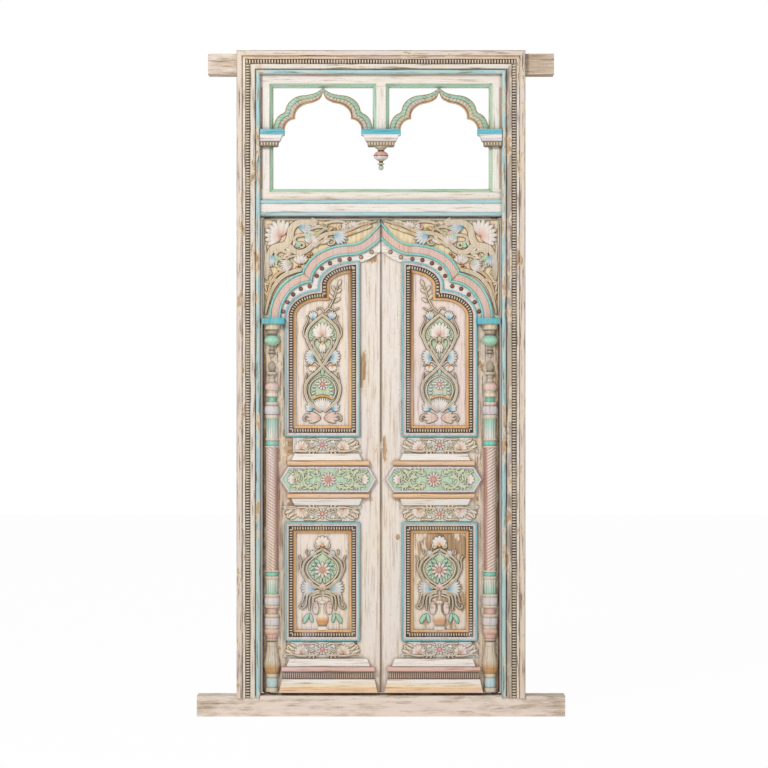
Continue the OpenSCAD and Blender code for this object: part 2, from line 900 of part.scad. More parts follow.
module studded_band(side) {
    color("#eee6da") leaf(side) relief(0, stud_band_t) offset(delta = 0) difference() {
        intersection() {
            leaf_top();
            arch_area();
        }
        offset(delta = lip_w + 1) polygon(cusped());
        translate([field_u1 + lip_w + 1, 0]) intersection() {
            square([leaf_w, leaf_h]);
            translate([-field_u1 - lip_w - 1, 0]) offset(delta = -stud_band_w) arch_area();
        }
    }
}

module arch_studs(side) {
    p = [for (q = arch_line()) if (q[0] <= leaf_w) q];
    total = run(p, len(p) - 1);
    r = stud_r * stud_scale;
    color("#8e3b3b") leaf(side) for (k = [0:stud_count - 1]) {
        s = total * (0.052 + 0.844 * k / (stud_count - 1));
        q = spot(p, s);
        at = q[0] - q[1] * min(stud_band_w * 0.42 * stud_scale, r + 0.5 + 0.1 * (s - total * 0.052));
        if (at[0] < leaf_w - r - 1) {
            translate([at[0], -stud_band_t, at[1]]) rotate([90, 0, 0]) rotate_extrude() polygon(concat(
                [[0, 0]],
                bow([0, 0], r, stud_h, 0, 90, 6)
            ));
        }
    }
}

// Carvings

// Scrolls over the arch, as seen on the left leaf, from the upper corner on the hinge side
module spandrel_scrolls() {
    vine([[225, -15], [175, -11], [118, -8], [68, -17], [36, -38], [25, -67]], 14, 30);
    vine([
        [25, -67], [-4, -94], [-34, -106], [-52, -130], [-60, -174], [-66, -217], [-70, -256], [-64, -292]
    ], 30, 8);
    vine([[44, -144], [66, -131], [96, -124], [118, -99], [146, -74], [182, -63], [228, -52]], 15, 12);
    vine([[228, -52], [280, -45], [332, -31], [384, -12]], 12, 5);
    vine([
        [44, -144], [34, -174], [18, -202], [-4, -235], [-28, -262], [-46, -292], [-58, -340], [-66, -384]
    ], 15, 4);
    translate([66, -100]) volute(22, 1.3, 7, 1, 200);
    translate([-8, -148]) volute(22, 1.3, 7, -1, 70);
    translate([176, -94]) volute(27, 1.4, 8, -1, 150);
    translate([238, -28]) volute(19, 1.3, 7, 1, 230);
    translate([-2, -78]) rotate(45) fan(9, 74, 150);
    translate([86, -42]) rotate(-80) fan(4, 40, 46);
    translate([110, -114]) rotate(8) fan(5, 38, 90);
    translate([60, -76]) rotate(-60) fan(5, 44, 70);
    translate([-50, -138]) rotate(168) fan(4, 36, 46);
    translate([46, -176]) rotate(104) fan(5, 48, 70);
    translate([-16, -126]) rotate(150) fan(5, 40, 70);
    translate([74, -136]) rotate(-140) fan(4, 34, 70);
    translate([204, -62]) rotate(-118) fan(6, 52, 78);
    translate([270, -42]) rotate(-8) fan(5, 30, 80);
    translate([336, -38]) rotate(-110) fan(4, 40, 40);
    translate([300, -24]) rotate(-70) fan(3, 44, 24);
    translate([-40, -272]) rotate(-150) fan(3, 34, 50);
    translate([-52, -236]) rotate(60) fan(3, 22, 50);
    for (k = [0:3]) {
        translate([52 + 16 * k, -186 + 14 * k]) circle(5.5, $fn = 12);
    }
}

module spandrel(side) {
    color("#e8cfa6") leaf(side) relief(0, spandrel_t) drawn() intersection() {
        difference() {
            translate([3, spring_v + 2]) square([leaf_w - arch_back - 3, leaf_h - spring_v - 4]);
            offset(delta = band_w + 1) arch_area();
        }
        union() {
            translate([89 * spandrel_scale[0], leaf_h + 1]) scale(spandrel_scale) spandrel_scrolls();
            difference() {
                square([leaf_w, leaf_h]);
                translate([8, 0]) square([leaf_w, leaf_h - 8]);
            }
        }
    }
}

// Crossing vines with palmettes and flowers, from the middle of the panel's foot
module upper_sprays() {
    both() {
        translate([3, 48]) rotate(-84) petal(76, 34);
        translate([12, 40]) rotate(-112) petal(62, 26);
        vine([[66, 40], [82, 30], [84, 18], [76, 14]], 8, 4);
        translate([22, 60]) rotate(-42) petal(32, 15);
        translate([8, 64]) rotate(-20) fan(3, 46, 30);
        vine([[0, 56], [34, 82], [60, 114], [68, 146], [55, 184], [27, 213], [-10, 246]], 8, 7);
        vine([[4, 88], [32, 108], [48, 142], [38, 178], [10, 206]], 5, 4);
        vine([[0, 126], [18, 118], [36, 102]], 9, 7);
        translate([26, 286]) rotate(-86) fan(6, 34, 120);
        translate([38, 246]) rotate(-90) rosette(5, 12);
        vine([[8, 236], [34, 266], [58, 312], [68, 360], [56, 396], [28, 424], [-8, 448]], 8, 7);
        vine([[0, 262], [22, 290], [40, 322], [36, 350], [18, 354], [12, 340], [20, 334]], 7, 4);
        vine([[58, 398], [76, 416], [74, 440], [58, 448], [52, 438]], 6, 4);
        translate([24, 426]) rotate(-24) fan(3, 30, 56);
    }
    translate([0, 166]) rosette(8, 21);
    translate([0, 60]) fan(3, 56, 34);
    translate([0, 352]) fan(7, 44, 180);
    translate([0, 330]) rotate(180) fan(5, 34, 110);
    translate([0, 322]) circle(7, $fn = 12);
    vine([[-8, 448], [12, 466], [34, 478], [50, 500], [56, 528], [62, 552], [74, 576]], 8, 4);
    vine([[8, 440], [-14, 462], [-34, 468]], 6, 3);
    translate([48, 496]) rotate(28) petal(26, 12);
    translate([46, 488]) rotate(-52) petal(32, 12);
    translate([57, 530]) rotate(30) petal(30, 11);
    translate([57, 528]) rotate(-50) petal(28, 11);
    translate([66, 556]) rotate(-22) petal(30, 14);
}

module upper_carving(side) {
    color("#dfc9a6") leaf(side) relief(panel_recess, carving_t)
        translate([field_mid, upper_v0 + inset]) drawn() {
        scale(upper_scale) upper_sprays();
    }
}

// Flowering vase with a medallion over it, from the middle of the panel's foot
module lower_sprays() {
    both() {
        vine([[3, 324], [30, 306], [56, 282], [66, 250], [56, 216], [30, 192], [0, 166]], 8, 8);
        vine([[6, 300], [32, 284], [46, 256], [38, 222], [8, 196]], 5, 4);
        translate([17, 340]) volute(9, 1.2, 5, -1, 90);
        translate([34, 300]) rotate(-34) fan(3, 24, 60);
        vine([[48, 192], [72, 214], [82, 244], [74, 274], [84, 294], [94, 286], [88, 276]], 7, 4);
        translate([40, 170]) rotate(-92) fan(7, 48, 130);
        vine([[4, 160], [34, 146], [58, 138], [70, 112], [72, 90], [86, 82], [92, 92], [84, 98]], 7, 4);
        vine([[4, 150], [32, 130], [48, 112], [56, 84], [58, 62]], 6, 4);
        vine([[4, 138], [24, 120], [36, 98], [44, 74]], 5, 3);
        translate([58, 64]) rotate(-160) petal(34, 13);
        translate([50, 66]) rotate(-190) petal(34, 13);
        translate([42, 76]) rotate(-176) petal(28, 10);
    }
    translate([0, 346]) fan(7, 34, 150);
    translate([0, 340]) circle(7, $fn = 12);
    translate([0, 242]) rosette(8, 32);
    translate([0, 168]) fan(3, 24, 60);
    polygon(concat(
        [[-13, 116], [13, 116], [9, 102], [9, 88]],
        bow([0, 50], 26, 30, 68, -68, 7),
        [[10, 16], [24, 8], [24, 1], [-24, 1], [-24, 8], [-10, 16]],
        bow([0, 50], 26, 30, 248, 112, 7),
        [[-9, 88], [-9, 102]]
    ));
}

module lower_carving(side) {
    color("#dfc9a6") leaf(side) relief(panel_recess, carving_t)
        translate([field_mid, lower_v0 + inset]) drawn() {
        scale(lower_scale) lower_sprays();
    }
}

// Carved strip with a flower between half shells, its long edge down
module frieze_scrolls() {
    translate([0, 30]) rosette(8, 19);
    both() {
        vine([[18, 24], [36, 8], [58, 8], [74, 22], [66, 34], [56, 28]], 7, 4);
        translate([88, 14]) rotate(-6) fan(7, 34, 150);
        vine([[20, 44], [40, 52], [62, 50], [84, 54], [104, 44]], 6, 3);
        vine([[66, 6], [100, 6], [126, 12], [140, 5]], 10, 4);
        translate([116, 12]) rotate(-50) petal(30, 12);
        translate([104, 22]) rotate(-46) petal(32, 12);
        translate([24, 40]) rotate(30) petal(20, 9);
    }
}

module frieze_ground() {
    side = [[146, 0], [138, 10], [124, 26], [116, 38], [106, 52], [76, 60]];
    line = concat(side, [[0, 60]], [for (i = [len(side) - 1:-1:0]) [-side[i][0], side[i][1]]]);
    polygon(smooth([for (q = line) [q[0] * frieze_scale[0], q[1] * frieze_scale[1]]], 2));
}

module frieze(v, flip) {
    translate([field_mid, 0, v]) mirror([0, 0, flip ? 1 : 0]) {
        relief(0, frieze_ground) frieze_ground();
        relief(-frieze_ground, frieze_t) drawn() intersection() {
            frieze_ground();
            scale(frieze_scale) frieze_scrolls();
        }
    }
}

// The upper strip of the left leaf has lost its end on the hinge side
module friezes(side) {
    v1 = upper_v0 - lip_w - strip_gap - frieze_h;
    v0 = lower_v1 + lip_w + strip_gap + frieze_h;
    v2 = lower_v0 - lip_w - strip_gap - frieze_h;
    color("#e3cfae") leaf(side) {
        difference() {
            frieze(v1, false);
            if (side == "left") {
                block([0, -leaf_t, v1 - 1], [field_mid - frieze_w / 2 + 12, leaf_t, v1 + frieze_h + 1]);
            }
        }
        frieze(v0, true);
        frieze(v2, false);
    }
}

// Middle and foot of the leaf

module plate_outline(inset) {
    w = plate_w / 2 - inset * 1.2;
    h = plate_h / 2 - inset;
    n = h * 0.62;
    polygon([[w, 0], [w - n, h], [n - w, h], [-w, 0], [n - w, -h], [w - n, -h]]);
}

module plate_scrolls() {
    rosette(12, 30);
    both() {
        vine([[34, -12], [58, -30], [84, -26], [98, -8], [88, 4], [76, -4]], 8, 4);
        vine([[34, 12], [56, 32], [86, 34], [112, 18], [134, 0]], 8, 4);
        translate([60, 8]) rotate(-80) petal(34, 14);
        translate([96, 22]) rotate(-56) petal(34, 13);
        translate([100, -16]) rotate(-120) petal(36, 13);
        translate([132, 0]) rotate(-90) fan(3, 30, 64);
        translate([42, 18]) rotate(-14) petal(22, 10);
        translate([42, -18]) rotate(-166) petal(22, 10);
    }
}

module centre_plate(side) {
    color("#bfdcc4") leaf(side) translate([plate_u, 0, plate_v]) {
        relief(0, plate_t) plate_outline(0);
        relief(-plate_t, 4) offset(delta = 0) difference() {
            plate_outline(0);
            plate_outline(8);
        }
        relief(-plate_t, 7) drawn() scale(plate_scale) plate_scrolls();
    }
}

// Half-round bar on a flat back
module torus(u, w, v, d) {
    moulding(u - w / 2, w) polygon(concat(
        [[0, v - torus_r]],
        bow([-d, v], torus_r, torus_r, 270, 90, 8),
        [[0, v + torus_r]]
    ));
}

module cornice() {
    v = plate_h / 2 + torus_r + strip_gap;
    torus(0, torus_w, v, 16);
    sloped(-6, torus_w - 44, torus_w - 70, v + torus_r, v + torus_r + slope_mid, 20, 10);
}

module cornices(side) {
    color("#edb368") leaf(side) translate([plate_u, 0, plate_v]) {
        cornice();
        mirror([0, 0, 1]) cornice();
    }
}

module plinth(side) {
    u = plate_u;
    v1 = foot_gap + foot_h;
    v2 = v1 + flute_h;
    d = foot_d;
    w = foot_w - d * 0.85;
    n = floor(w / flute_pitch);
    step = w / n;
    color("#ead7b6") leaf(side) {
        sloped(u, foot_w, foot_w - d * 0.6, foot_gap, v1, d, d * 0.7);
        translate([u - w / 2, 0, v1]) linear_extrude(flute_h) polygon([
            [0, 0],
            for (k = [0:n - 1]) for (f = [[0.08, 0.6], [0.62, 0.6], [0.7, 0.475], [1, 0.475]])
                [(k + f[0]) * step, -d * f[1]],
            [w, 0]
        ]);
        torus(u, foot_w - d * 0.55, v2 + torus_r, d * 0.65);
        v3 = v2 + 2 * torus_r;
        sloped(u, foot_w - d * 1.45, foot_w - d * 2.05, v3, v3 + slope_foot, d * 0.55, d * 0.3);
    }
}

// Columns

// Turned outline from a list of steps: height, radius below, radius above, bulge
function turned(list, v = 0, i = 0) =
    i == len(list) ? [] :
    let (s = list[i], n = s[3] == 0 ? 1 : 6)
    concat(
        [for (k = [0:n]) [lerp(s[1], s[2], k / n) + s[3] * sin(180 * k / n), v + s[0] * k / n]],
        turned(list, v + s[0], i + 1)
    );

// The same steps for a thicker or thinner shaft
function sized(list) = [for (s = list) s * column_scale];

function height(list, i = 0) = i == len(list) ? 0 : list[i][0] + height(list, i + 1);

module half_turned(list) {
    h = height(list);
    rotate([0, 0, 180]) rotate_extrude(angle = 180) polygon(concat([[0, 0]], turned(list), [[0, h]]));
}

column_foot = sized([
    [12, 22, 22, 0], [26, 18, 18, 1.5], [16, 15, 19, 0], [8, 22, 22, 2],
    [22, 24, 33, 3], [26, 33, 29, 2], [54, 29, 18, -1], [24, 17, 17, 0],
    [14, 19, 19, 2], [20, 18, 24, 0], [18, 26, 26, 4.5], [10, 25, 25, 2],
    [28, 27, 27, 2.5], [10, 26, 26, 2], [20, 20, 20, -3], [12, 26, 26, 3],
    [28, 28, 28, 2.5], [10, 27, 27, 2.5]
]);
column_lower = sized([[14, 25, 25, 2.5], [14, 23, 23, 2], [10, 26, 26, 1.5]]);
column_upper = sized([[8, 26, 26, 1.5], [22, 23, 23, 2.5], [14, 25, 25, 2]]);
column_head = sized([
    [12, 25, 25, 3], [32, 28, 28, 3], [10, 24, 24, 2.5], [24, 18, 18, -2], [16, 22, 22, 3.5],
    [6, 20, 20, 0], [26, 22, 22, 7], [20, 16, 9, -1], [14, 10, 12, 0], [14, 19, 19, 3],
    [8, 12, 12, 0], [26, 10, 7, 8]
]);
capital_turning = sized([
    [16, 3, 10, 2], [6, 14, 14, 2], [6, 10, 10, 0], [6, 11, 11, 2], [12, 8, 8, 0],
    [44, 12, 18, 18], [20, 20, 21, 0], [4, 28, 28, 0], [20, 30, 34, -1]
]);
flute_len = 62 * column_scale;

// Drum with upright flutes cut round it
module fluted_drum(r) {
    difference() {
        half_turned([[flute_len, r, r, 0]]);
        for (a = [15:30:165]) {
            rotate([0, 0, -a]) translate([r + 1.5, 0, 4]) cylinder(r = 4, h = flute_len - 8);
        }
    }
}

// Many-sided shaft with slanting grooves across its front
module spiral_shaft(l) {
    n = floor((l - 2 * spiral_pitch) / spiral_pitch);
    difference() {
        linear_extrude(l) polygon(bow([0, 0], shaft_r, shaft_r, 180, 360, 13));
        for (k = [0:n]) {
            translate([0, 0, spiral_pitch * (k + 1)]) rotate([0, 30, 0])
                block(
                    [-2 * shaft_r, -2 * shaft_r, -spiral_w / 2],
                    [2 * shaft_r, -shaft_r + spiral_d, spiral_w / 2]
                );
        }
    }
}

module column(side) {
    top = capital_v - height(capital_turning) - column_gap;
    v0 = foot_gap;
    v1 = v0 + height(column_foot);
    v2 = v1 + flute_len;
    v3 = v2 + height(column_lower);
    v6 = top - height(column_head);
    v5 = v6 - flute_len;
    v4 = v5 - height(column_upper);
    color("#e6cfc6") leaf(side) translate([column_u, 0, 0]) {
        translate([0, 0, v0]) half_turned(column_foot);
        translate([0, 0, v1]) fluted_drum(shaft_r);
        translate([0, 0, v2]) half_turned(column_lower);
        translate([0, 0, v3]) spiral_shaft(v4 - v3);
        translate([0, 0, v4]) half_turned(column_upper);
        translate([0, 0, v5]) fluted_drum(shaft_r);
        translate([0, 0, v6]) half_turned(column_head);
    }
}

// Slab, bell, ball and drop that carry the arch's spring
module column_capital(side) {
    color("#a6d8de") leaf(side) {
        relief(0, 42) translate([2, capital_v]) square([field_u0 - lip_w - 2, slab_h]);
        translate([column_u, 0, capital_v - height(capital_turning)]) half_turned(capital_turning);
    }
}

// Each node by its name

sill();
head_beam();
left_jamb();
right_jamb();
head_casing();
bead_strips();
transom_bar();
fanlight_top_rail();
fanlight_bottom_rail();
fanlight_left_stile();
fanlight_right_stile();
fanlight_mullion();
fanlight_arches();
side_brackets();
centre_bracket();
pendant();
for (s = ["left", "right"]) {
    hinge_stile(s);
    meeting_stile(s);
    top_rail(s);
    lock_rail(s);
    bottom_rail(s);
    upper_panel(s);
    lower_panel(s);
    spandrel(s);
    arch_band(s);
    studded_band(s);
    arch_studs(s);
    upper_moulding(s);
    lower_moulding(s);
    panel_beads(s);
    upper_carving(s);
    lower_carving(s);
    centre_plate(s);
    cornices(s);
    friezes(s);
    plinth(s);
    column_capital(s);
    column(s);
}
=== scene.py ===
"""Paint, carving and stage for an old carved double door in its frame.

Carved forms are drawn in millimetres on the face that carries them: across, up, and out of that face.
On a leaf, across (u) runs from the heel to the meeting edge and up (v) from the leaf's foot.
"""
import math
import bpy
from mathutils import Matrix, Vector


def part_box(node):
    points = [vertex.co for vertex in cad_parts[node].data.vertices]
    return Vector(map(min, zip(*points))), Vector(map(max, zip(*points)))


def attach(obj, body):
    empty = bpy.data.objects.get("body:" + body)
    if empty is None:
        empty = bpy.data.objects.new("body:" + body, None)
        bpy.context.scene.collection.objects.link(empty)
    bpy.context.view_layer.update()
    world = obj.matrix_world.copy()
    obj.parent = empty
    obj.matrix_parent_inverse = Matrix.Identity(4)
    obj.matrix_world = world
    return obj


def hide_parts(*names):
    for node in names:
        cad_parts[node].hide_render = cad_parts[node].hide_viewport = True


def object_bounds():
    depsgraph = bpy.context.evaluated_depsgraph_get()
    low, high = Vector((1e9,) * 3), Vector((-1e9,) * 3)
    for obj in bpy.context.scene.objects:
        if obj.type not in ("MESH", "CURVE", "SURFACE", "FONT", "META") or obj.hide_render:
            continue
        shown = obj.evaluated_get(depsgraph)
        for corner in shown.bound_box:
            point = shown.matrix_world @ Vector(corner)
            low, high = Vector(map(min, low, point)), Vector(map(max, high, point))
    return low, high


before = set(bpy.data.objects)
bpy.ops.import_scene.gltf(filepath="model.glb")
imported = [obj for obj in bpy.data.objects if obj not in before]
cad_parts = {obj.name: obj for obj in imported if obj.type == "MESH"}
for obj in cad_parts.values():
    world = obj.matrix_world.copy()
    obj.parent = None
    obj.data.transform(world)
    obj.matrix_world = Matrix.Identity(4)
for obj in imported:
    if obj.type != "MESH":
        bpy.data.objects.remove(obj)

from types import SimpleNamespace

import bpy
from bpy.props import FloatProperty, FloatVectorProperty, IntProperty, PointerProperty
from mathutils import Vector
from mathutils.geometry import tessellate_polygon

CAD_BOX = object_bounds()
MM = 0.001
SIDES = ("left", "right")
SKIRT = 1.7  # width of the line of soil and painted shade beside carved forms, mm
SOIL_AND_SHADE_HEIGHT = 1.0  # height of that line over the ground, mm
SUNK = 0.03  # share of a form's height by which its edge reaches below the ground
BAND = 46  # width of the arch band, mm
PAST = 4  # steps by which the arch is drawn past the meeting edge, to be cut there
CARVING_FOOT = 44  # start of a panel's carving over the lower edge of its moulding, mm
PANEL_FACE = -16  # face of the panels from the leaf's face, mm
SPOT_DEPTH = 0.03  # how far worn places reach behind the front, m
DARK_STREAK = "#7D6A56"  # grain lines of hard-worn boards

bl_info = {
    "name": "Carved Double Door",
    "version": (1, 0, 0),
    "blender": (4, 5, 0),
    "location": "View3D > Sidebar > Door",
    "description": "Dresses a carved and painted double door in its frame",
    "category": "Object",
}


def linear(code):
    """sRGB hex colour as linear red, green and blue."""
    parts = [int(code[i:i + 2], 16) / 255 for i in (1, 3, 5)]
    return tuple(c / 12.92 if c <= 0.04045 else ((c + 0.055) / 1.055) ** 2.4 for c in parts)


# Settings


def colour_setting(name, code, description):
    """Colour that can be changed in the panel."""
    return FloatVectorProperty(name=name, description=description, subtype="COLOR", min=0, max=1,
                               default=linear(code))


class DoorColours(bpy.types.PropertyGroup):
    """Paints and wood of the door."""
    white: colour_setting("White", "#EBE4DC", "Chalky white of boards and mouldings")
    blush: colour_setting("Blush", "#EDE0DA", "Faded pink white of the panels")
    cream: colour_setting("Cream", "#E8DDD3", "Yellowed white of the meeting stiles")
    pink: colour_setting("Pink", "#DDA99D", "Pink of the arch band and the flowers")
    turquoise: colour_setting("Turquoise", "#74CDBE", "Edges of the arch band and rings of the columns")
    blue: colour_setting("Blue", "#48A6C6", "Slabs of the capitals and roots of the leaves")
    pale_blue: colour_setting("Pale blue", "#A3D4DA", "Round edges of the frame and the panels")
    ochre: colour_setting("Ochre", "#E8AC62", "Inner fillets and round bars")
    green: colour_setting("Green", "#B2D8BC", "Mint ground behind the carving")
    sand: colour_setting("Sand", "#EAD3A8", "Scrolls over the arch and of the friezes")
    stone: colour_setting("Stone", "#D3C2A6", "Grey beige of the vines on the panels")
    lavender: colour_setting("Lavender", "#DAD2D6", "Grey white of drums and rims")
    red: colour_setting("Red", "#8E4440", "Domed studs of the arch")
    wood: colour_setting("Wood", "#AF8F70", "Bare weathered teak")
    # dark brown of soil, cracks and bare grain, also laid on as painted shade in grooves, gaps and round the
    # carving
    dirt_and_shade: colour_setting("Dirt", "#483729", "Dark brown in grooves and round the carving")


class DoorSizes(bpy.types.PropertyGroup):
    """Sizes of the carved forms, in millimetres unless a unit is named."""
    bead_pitch: FloatProperty(name="Frame bead pitch", default=11.25, min=6, max=20,
                              description="Length of one frame bead with its groove, mm")
    row_pitch: FloatProperty(name="Panel bead pitch", default=10.4, min=5, max=14,
                             description="Length of one panel bead with its groove, mm")
    carving: FloatProperty(name="Panel relief", default=11.0, min=4, max=16,
                           description="Height of the panel carvings over the panel, mm")
    spandrel: FloatProperty(name="Spandrel relief", default=15.0, min=6, max=20,
                            description="Height of the scrolls over the arch, mm")
    frieze: FloatProperty(name="Frieze relief", default=10.0, min=4, max=14,
                          description="Height of the frieze scrolls over their ground, mm")
    twist: FloatProperty(name="Twist pitch", default=12.5, min=6, max=24,
                         description="Upright distance of the column's spiral grooves, mm")
    hatch: FloatProperty(name="Hatch pitch", default=9.0, min=4, max=14,
                         description="Distance of the slanting cuts on the arch band, mm")
    flutes: IntProperty(name="Flutes", default=7, min=4, max=12,
                        description="Flutes round the front half of a column drum")
    view: FloatProperty(name="Camera distance", unit="LENGTH", default=9.0, min=4, max=30,
                        description="Distance of the camera from the frame's front")
    width: FloatProperty(name="Picture width", unit="LENGTH", default=3.072, min=1, max=8,
                         description="Width of the picture at the frame's front")


# Curves


def blend(a, b, t):
    return tuple(x + (y - x) * t for x, y in zip(a, b))


def smooth(points, n=5):
    """Smooth curve through points."""
    p = [Vector(q) for q in points]
    out = []
    for i in range(len(p) - 1):
        a, b, c, d = p[max(i - 1, 0)], p[i], p[i + 1], p[min(i + 2, len(p) - 1)]
        for k in range(n):
            t = k / n
            out.append(0.5 * (2 * b + (c - a) * t + (2 * a - 5 * b + 4 * c - d) * t * t
                              + (3 * b - a - 3 * c + d) * t ** 3))
    return out + [p[-1]]


def arc(cu, cv, a, b, start, end, n=14):
    """Part of an ellipse, angles in degrees."""
    turns = [math.radians(start + (end - start) * k / n) for k in range(n + 1)]
    return [Vector((cu + a * math.cos(t), cv + b * math.sin(t))) for t in turns]


def left_of(path, closed=False):
    """Left-hand mitre direction at each point: a step along it moves both neighbouring sides by one."""
    out, n = [], len(path)
    for i in range(n):
        before = path[i] - path[i - 1] if closed or i else path[1] - path[0]
        after = path[(i + 1) % n] - path[i] if closed or i < n - 1 else path[-1] - path[-2]
        a = Vector((-before.y, before.x)).normalized()
        b = Vector((-after.y, after.x)).normalized()
        out.append((a + b) / max(1 + a.dot(b), 0.3))
    return out


def lengths(path):
    """Distance of each point from the start, along the path."""
    runs = [0.0]
    for a, b in zip(path, path[1:]):
        runs.append(runs[-1] + (b - a).length)
    return runs


def evenly(path, step, inset=0.0):
    """Points at equal distances along a path, each with its left-hand direction and its distance."""
    runs = lengths(path)
    count = max(1, int((runs[-1] - 2 * inset) / step))
    out, i = [], 0
    for k in range(count + 1):
        s = inset + (runs[-1] - 2 * inset) * k / count
        while i < len(path) - 2 and runs[i + 1] < s:
            i += 1
        d = path[i + 1] - path[i]
        out.append((path[i] + d * ((s - runs[i]) / d.length), Vector((-d.y, d.x)).normalized(), s))
    return out


def both_halves(line):
    """Closed outline from its right half, which starts and ends on the middle line."""
    return line + [Vector((-q.x, q.y)) for q in line[-2:0:-1]]


# Carving


class Carver:
    """Gathers carved forms as sheets of points with their paint, and makes one piece of them."""

    def __init__(self, place, mirrored, dirt_and_shade):
        self.place, self.mirrored, self.dirt_and_shade = place, mirrored, dirt_and_shade
        self.points, self.faces, self.paints, self.rounded = [], [], [], []
        self.stand(0, 0, 0)

    def stand(self, u, v, h, turn_u=1, turn_v=1):
        """Where the next forms start, and whether they are mirrored across or up."""
        self.origin, self.turn = (u, v, h), (turn_u, turn_v)

    def put(self, x, y, z, paint):
        u, v, h = self.origin
        self.points.append(self.place(u + self.turn[0] * x, v + self.turn[1] * y, h + z))
        self.paints.append(paint)

    def face(self, corners, rounded):
        back = self.mirrored != (self.turn[0] * self.turn[1] < 0)
        self.faces.append(tuple(reversed(corners)) if back else tuple(corners))
        self.rounded.append(rounded)

    def sheet(self, rows, rounded=True, closed=False):
        """Rows of points (across, up, out, paint) from below to above, each from left to right as seen from
        the front."""
        start, width = len(self.points), len(rows[0])
        for row in rows:
            for point in row:
                self.put(*point)
        for r in range(len(rows) - 1):
            for c in range(width if closed else width - 1):
                a, b = start + r * width + c, start + r * width + (c + 1) % width
                self.face((a, b, b + width, a + width), rounded)

    def vine(self, points, w0, w1, height, crest, ridges=2, swell=0.0):
        """Stem with rounded ridges along it and a line of soil and painted shade on both sides; swell widens
        its middle.
        """
        path = smooth(points)
        sides, runs = left_of(path), lengths(path)
        ridges = 1 if max(w0, w1) < 9 else ridges
        # the grooves between the ridges and the flanks are painted darker than the crests: painted shade
        valley, flank = blend(self.dirt_and_shade, crest, 0.6 if ridges < 3 else 0.75), blend(self.dirt_and_shade, crest, 0.85)
        low = SOIL_AND_SHADE_HEIGHT / height
        # share of the half width, millimetres beyond it, share of the height, paint
        half = [(1, SKIRT, -SUNK, self.dirt_and_shade), (1, SKIRT, low, self.dirt_and_shade), (1, 0, low + SUNK, self.dirt_and_shade),
                (0.84, 0, 0.62, flank)]
        section = list(half)
        for i in range(2 * ridges - 1):
            k = 0.62 - 1.24 * i / max(2 * ridges - 2, 1) if ridges > 1 else 0
            section.append((k, 0, 1.0 - 0.12 * k * k - 0.24 * (i % 2), valley if i % 2 else crest))
        section += [(-k, -e, z, shade) for k, e, z, shade in reversed(half)]
        rows = []
        for p, n, s in zip(path, sides, runs):
            t = s / runs[-1]
            w = (w0 + (w1 - w0) * t) / 2 * (1 + swell * math.sin(math.pi * t))
            ends = min(1.0, 0.35 + min(s, runs[-1] - s) / max(w, 1.0))
            rows.append([(p.x + n.x * (w * k + e) * ends, p.y + n.y * (w * k + e) * ends, height * z * ends,
                          shade) for k, e, z, shade in section])
        self.sheet(rows)

    def petal(self, x, y, angle, length, width, height, tip, root, scoop=0.0):
        """Cushioned leaf that points up at angle 0 and turns to the left with it."""
        a = math.radians(angle)
        ahead, side = (-math.sin(a), math.cos(a)), (-math.cos(a), -math.sin(a))
        skirt, steps, rows = 0.6 * SKIRT, 7, []
        for k in range(steps + 1):
            t = k / steps
            wide = width / 2 * max(math.sin(math.pi * t ** 1.25), 0) ** 0.6 + 0.05 * width * (t < 0.5)
            lift = height * (0.5 + 0.5 * math.sin(math.pi * min(1, t * 0.62 + 0.1)))
            shade = blend(root, tip, min(1, max(0, (t - 0.12) * 2.2)))
            row, low = [], SOIL_AND_SHADE_HEIGHT / lift
            half = ((1, skirt, -SUNK), (1, skirt, low), (1, 0, low + SUNK), (0.76, 0, 0.7), (0.3, 0, 1))
            other = tuple((-s, -e, z) for s, e, z in reversed(half))
            for s, e, z in half + ((0, 0, 1 - scoop),) + other:
                tall = lift * z if 0 < k < steps else -SUNK * height
                across = wide * s + e * (1 if 0 < k < steps else 0.4)
                # the rim rows and both ends are painted dark: a line of soil and painted shade round the leaf
                row.append((x + ahead[0] * length * t + side[0] * across,
                            y + ahead[1] * length * t + side[1] * across, tall,
                            self.dirt_and_shade if abs(s) == 1 or k in (0, steps) else shade))
            rows.append(row)
        self.sheet(rows)

    def fan(self, x, y, angle, count, length, spread, height, tip, root, short=0.15):
        """Petals that spread from one root."""
        wide = 0.94 * length * math.radians(spread / max(count - 1, 1))
        for k in range(count):
            turn = spread * (0.5 - k / max(count - 1, 1))
            reach = length * (1 - short * (abs(turn) / (spread / 2)) ** 2)
            self.petal(x, y, angle + turn, reach, wide, height * (1 - 0.25 * abs(turn) / 120), tip, root, 0.1)

    def leaves(self, points, count, length, width, lean, height, tip, root, sides=(1, -1)):
        """Leaves set along a line that lean forward from its left (1) and right (-1) side."""
        path = smooth(points)
        for p, n, _ in evenly(path, lengths(path)[-1] / count)[:-1]:
            ahead = math.degrees(math.atan2(-n.y, -n.x))
            for side in sides:
                self.petal(p.x, p.y, ahead + side * lean, length, width, height, tip, root, 0.15)

    def knob(self, x, y, radius, height, paint, rings=4, spokes=14):
        """Domed button."""
        # the foot rings and the lowest ring are painted dark: soil and painted shade round the button
        rings_at = [(radius + SKIRT, -0.3, self.dirt_and_shade), (radius + SKIRT, SOIL_AND_SHADE_HEIGHT, self.dirt_and_shade)]
        for k in range(rings + 1):
            t = math.pi / 2 * k / rings
            rings_at.append((radius * max(math.cos(t), 0.02), max(height * math.sin(t), SOIL_AND_SHADE_HEIGHT),
                             paint if k else self.dirt_and_shade))
        turns = [2 * math.pi * c / spokes for c in range(spokes)]
        self.sheet([[(x + r * math.cos(q), y + r * math.sin(q), z, shade) for q in turns]
                    for r, z, shade in rings_at], closed=True)

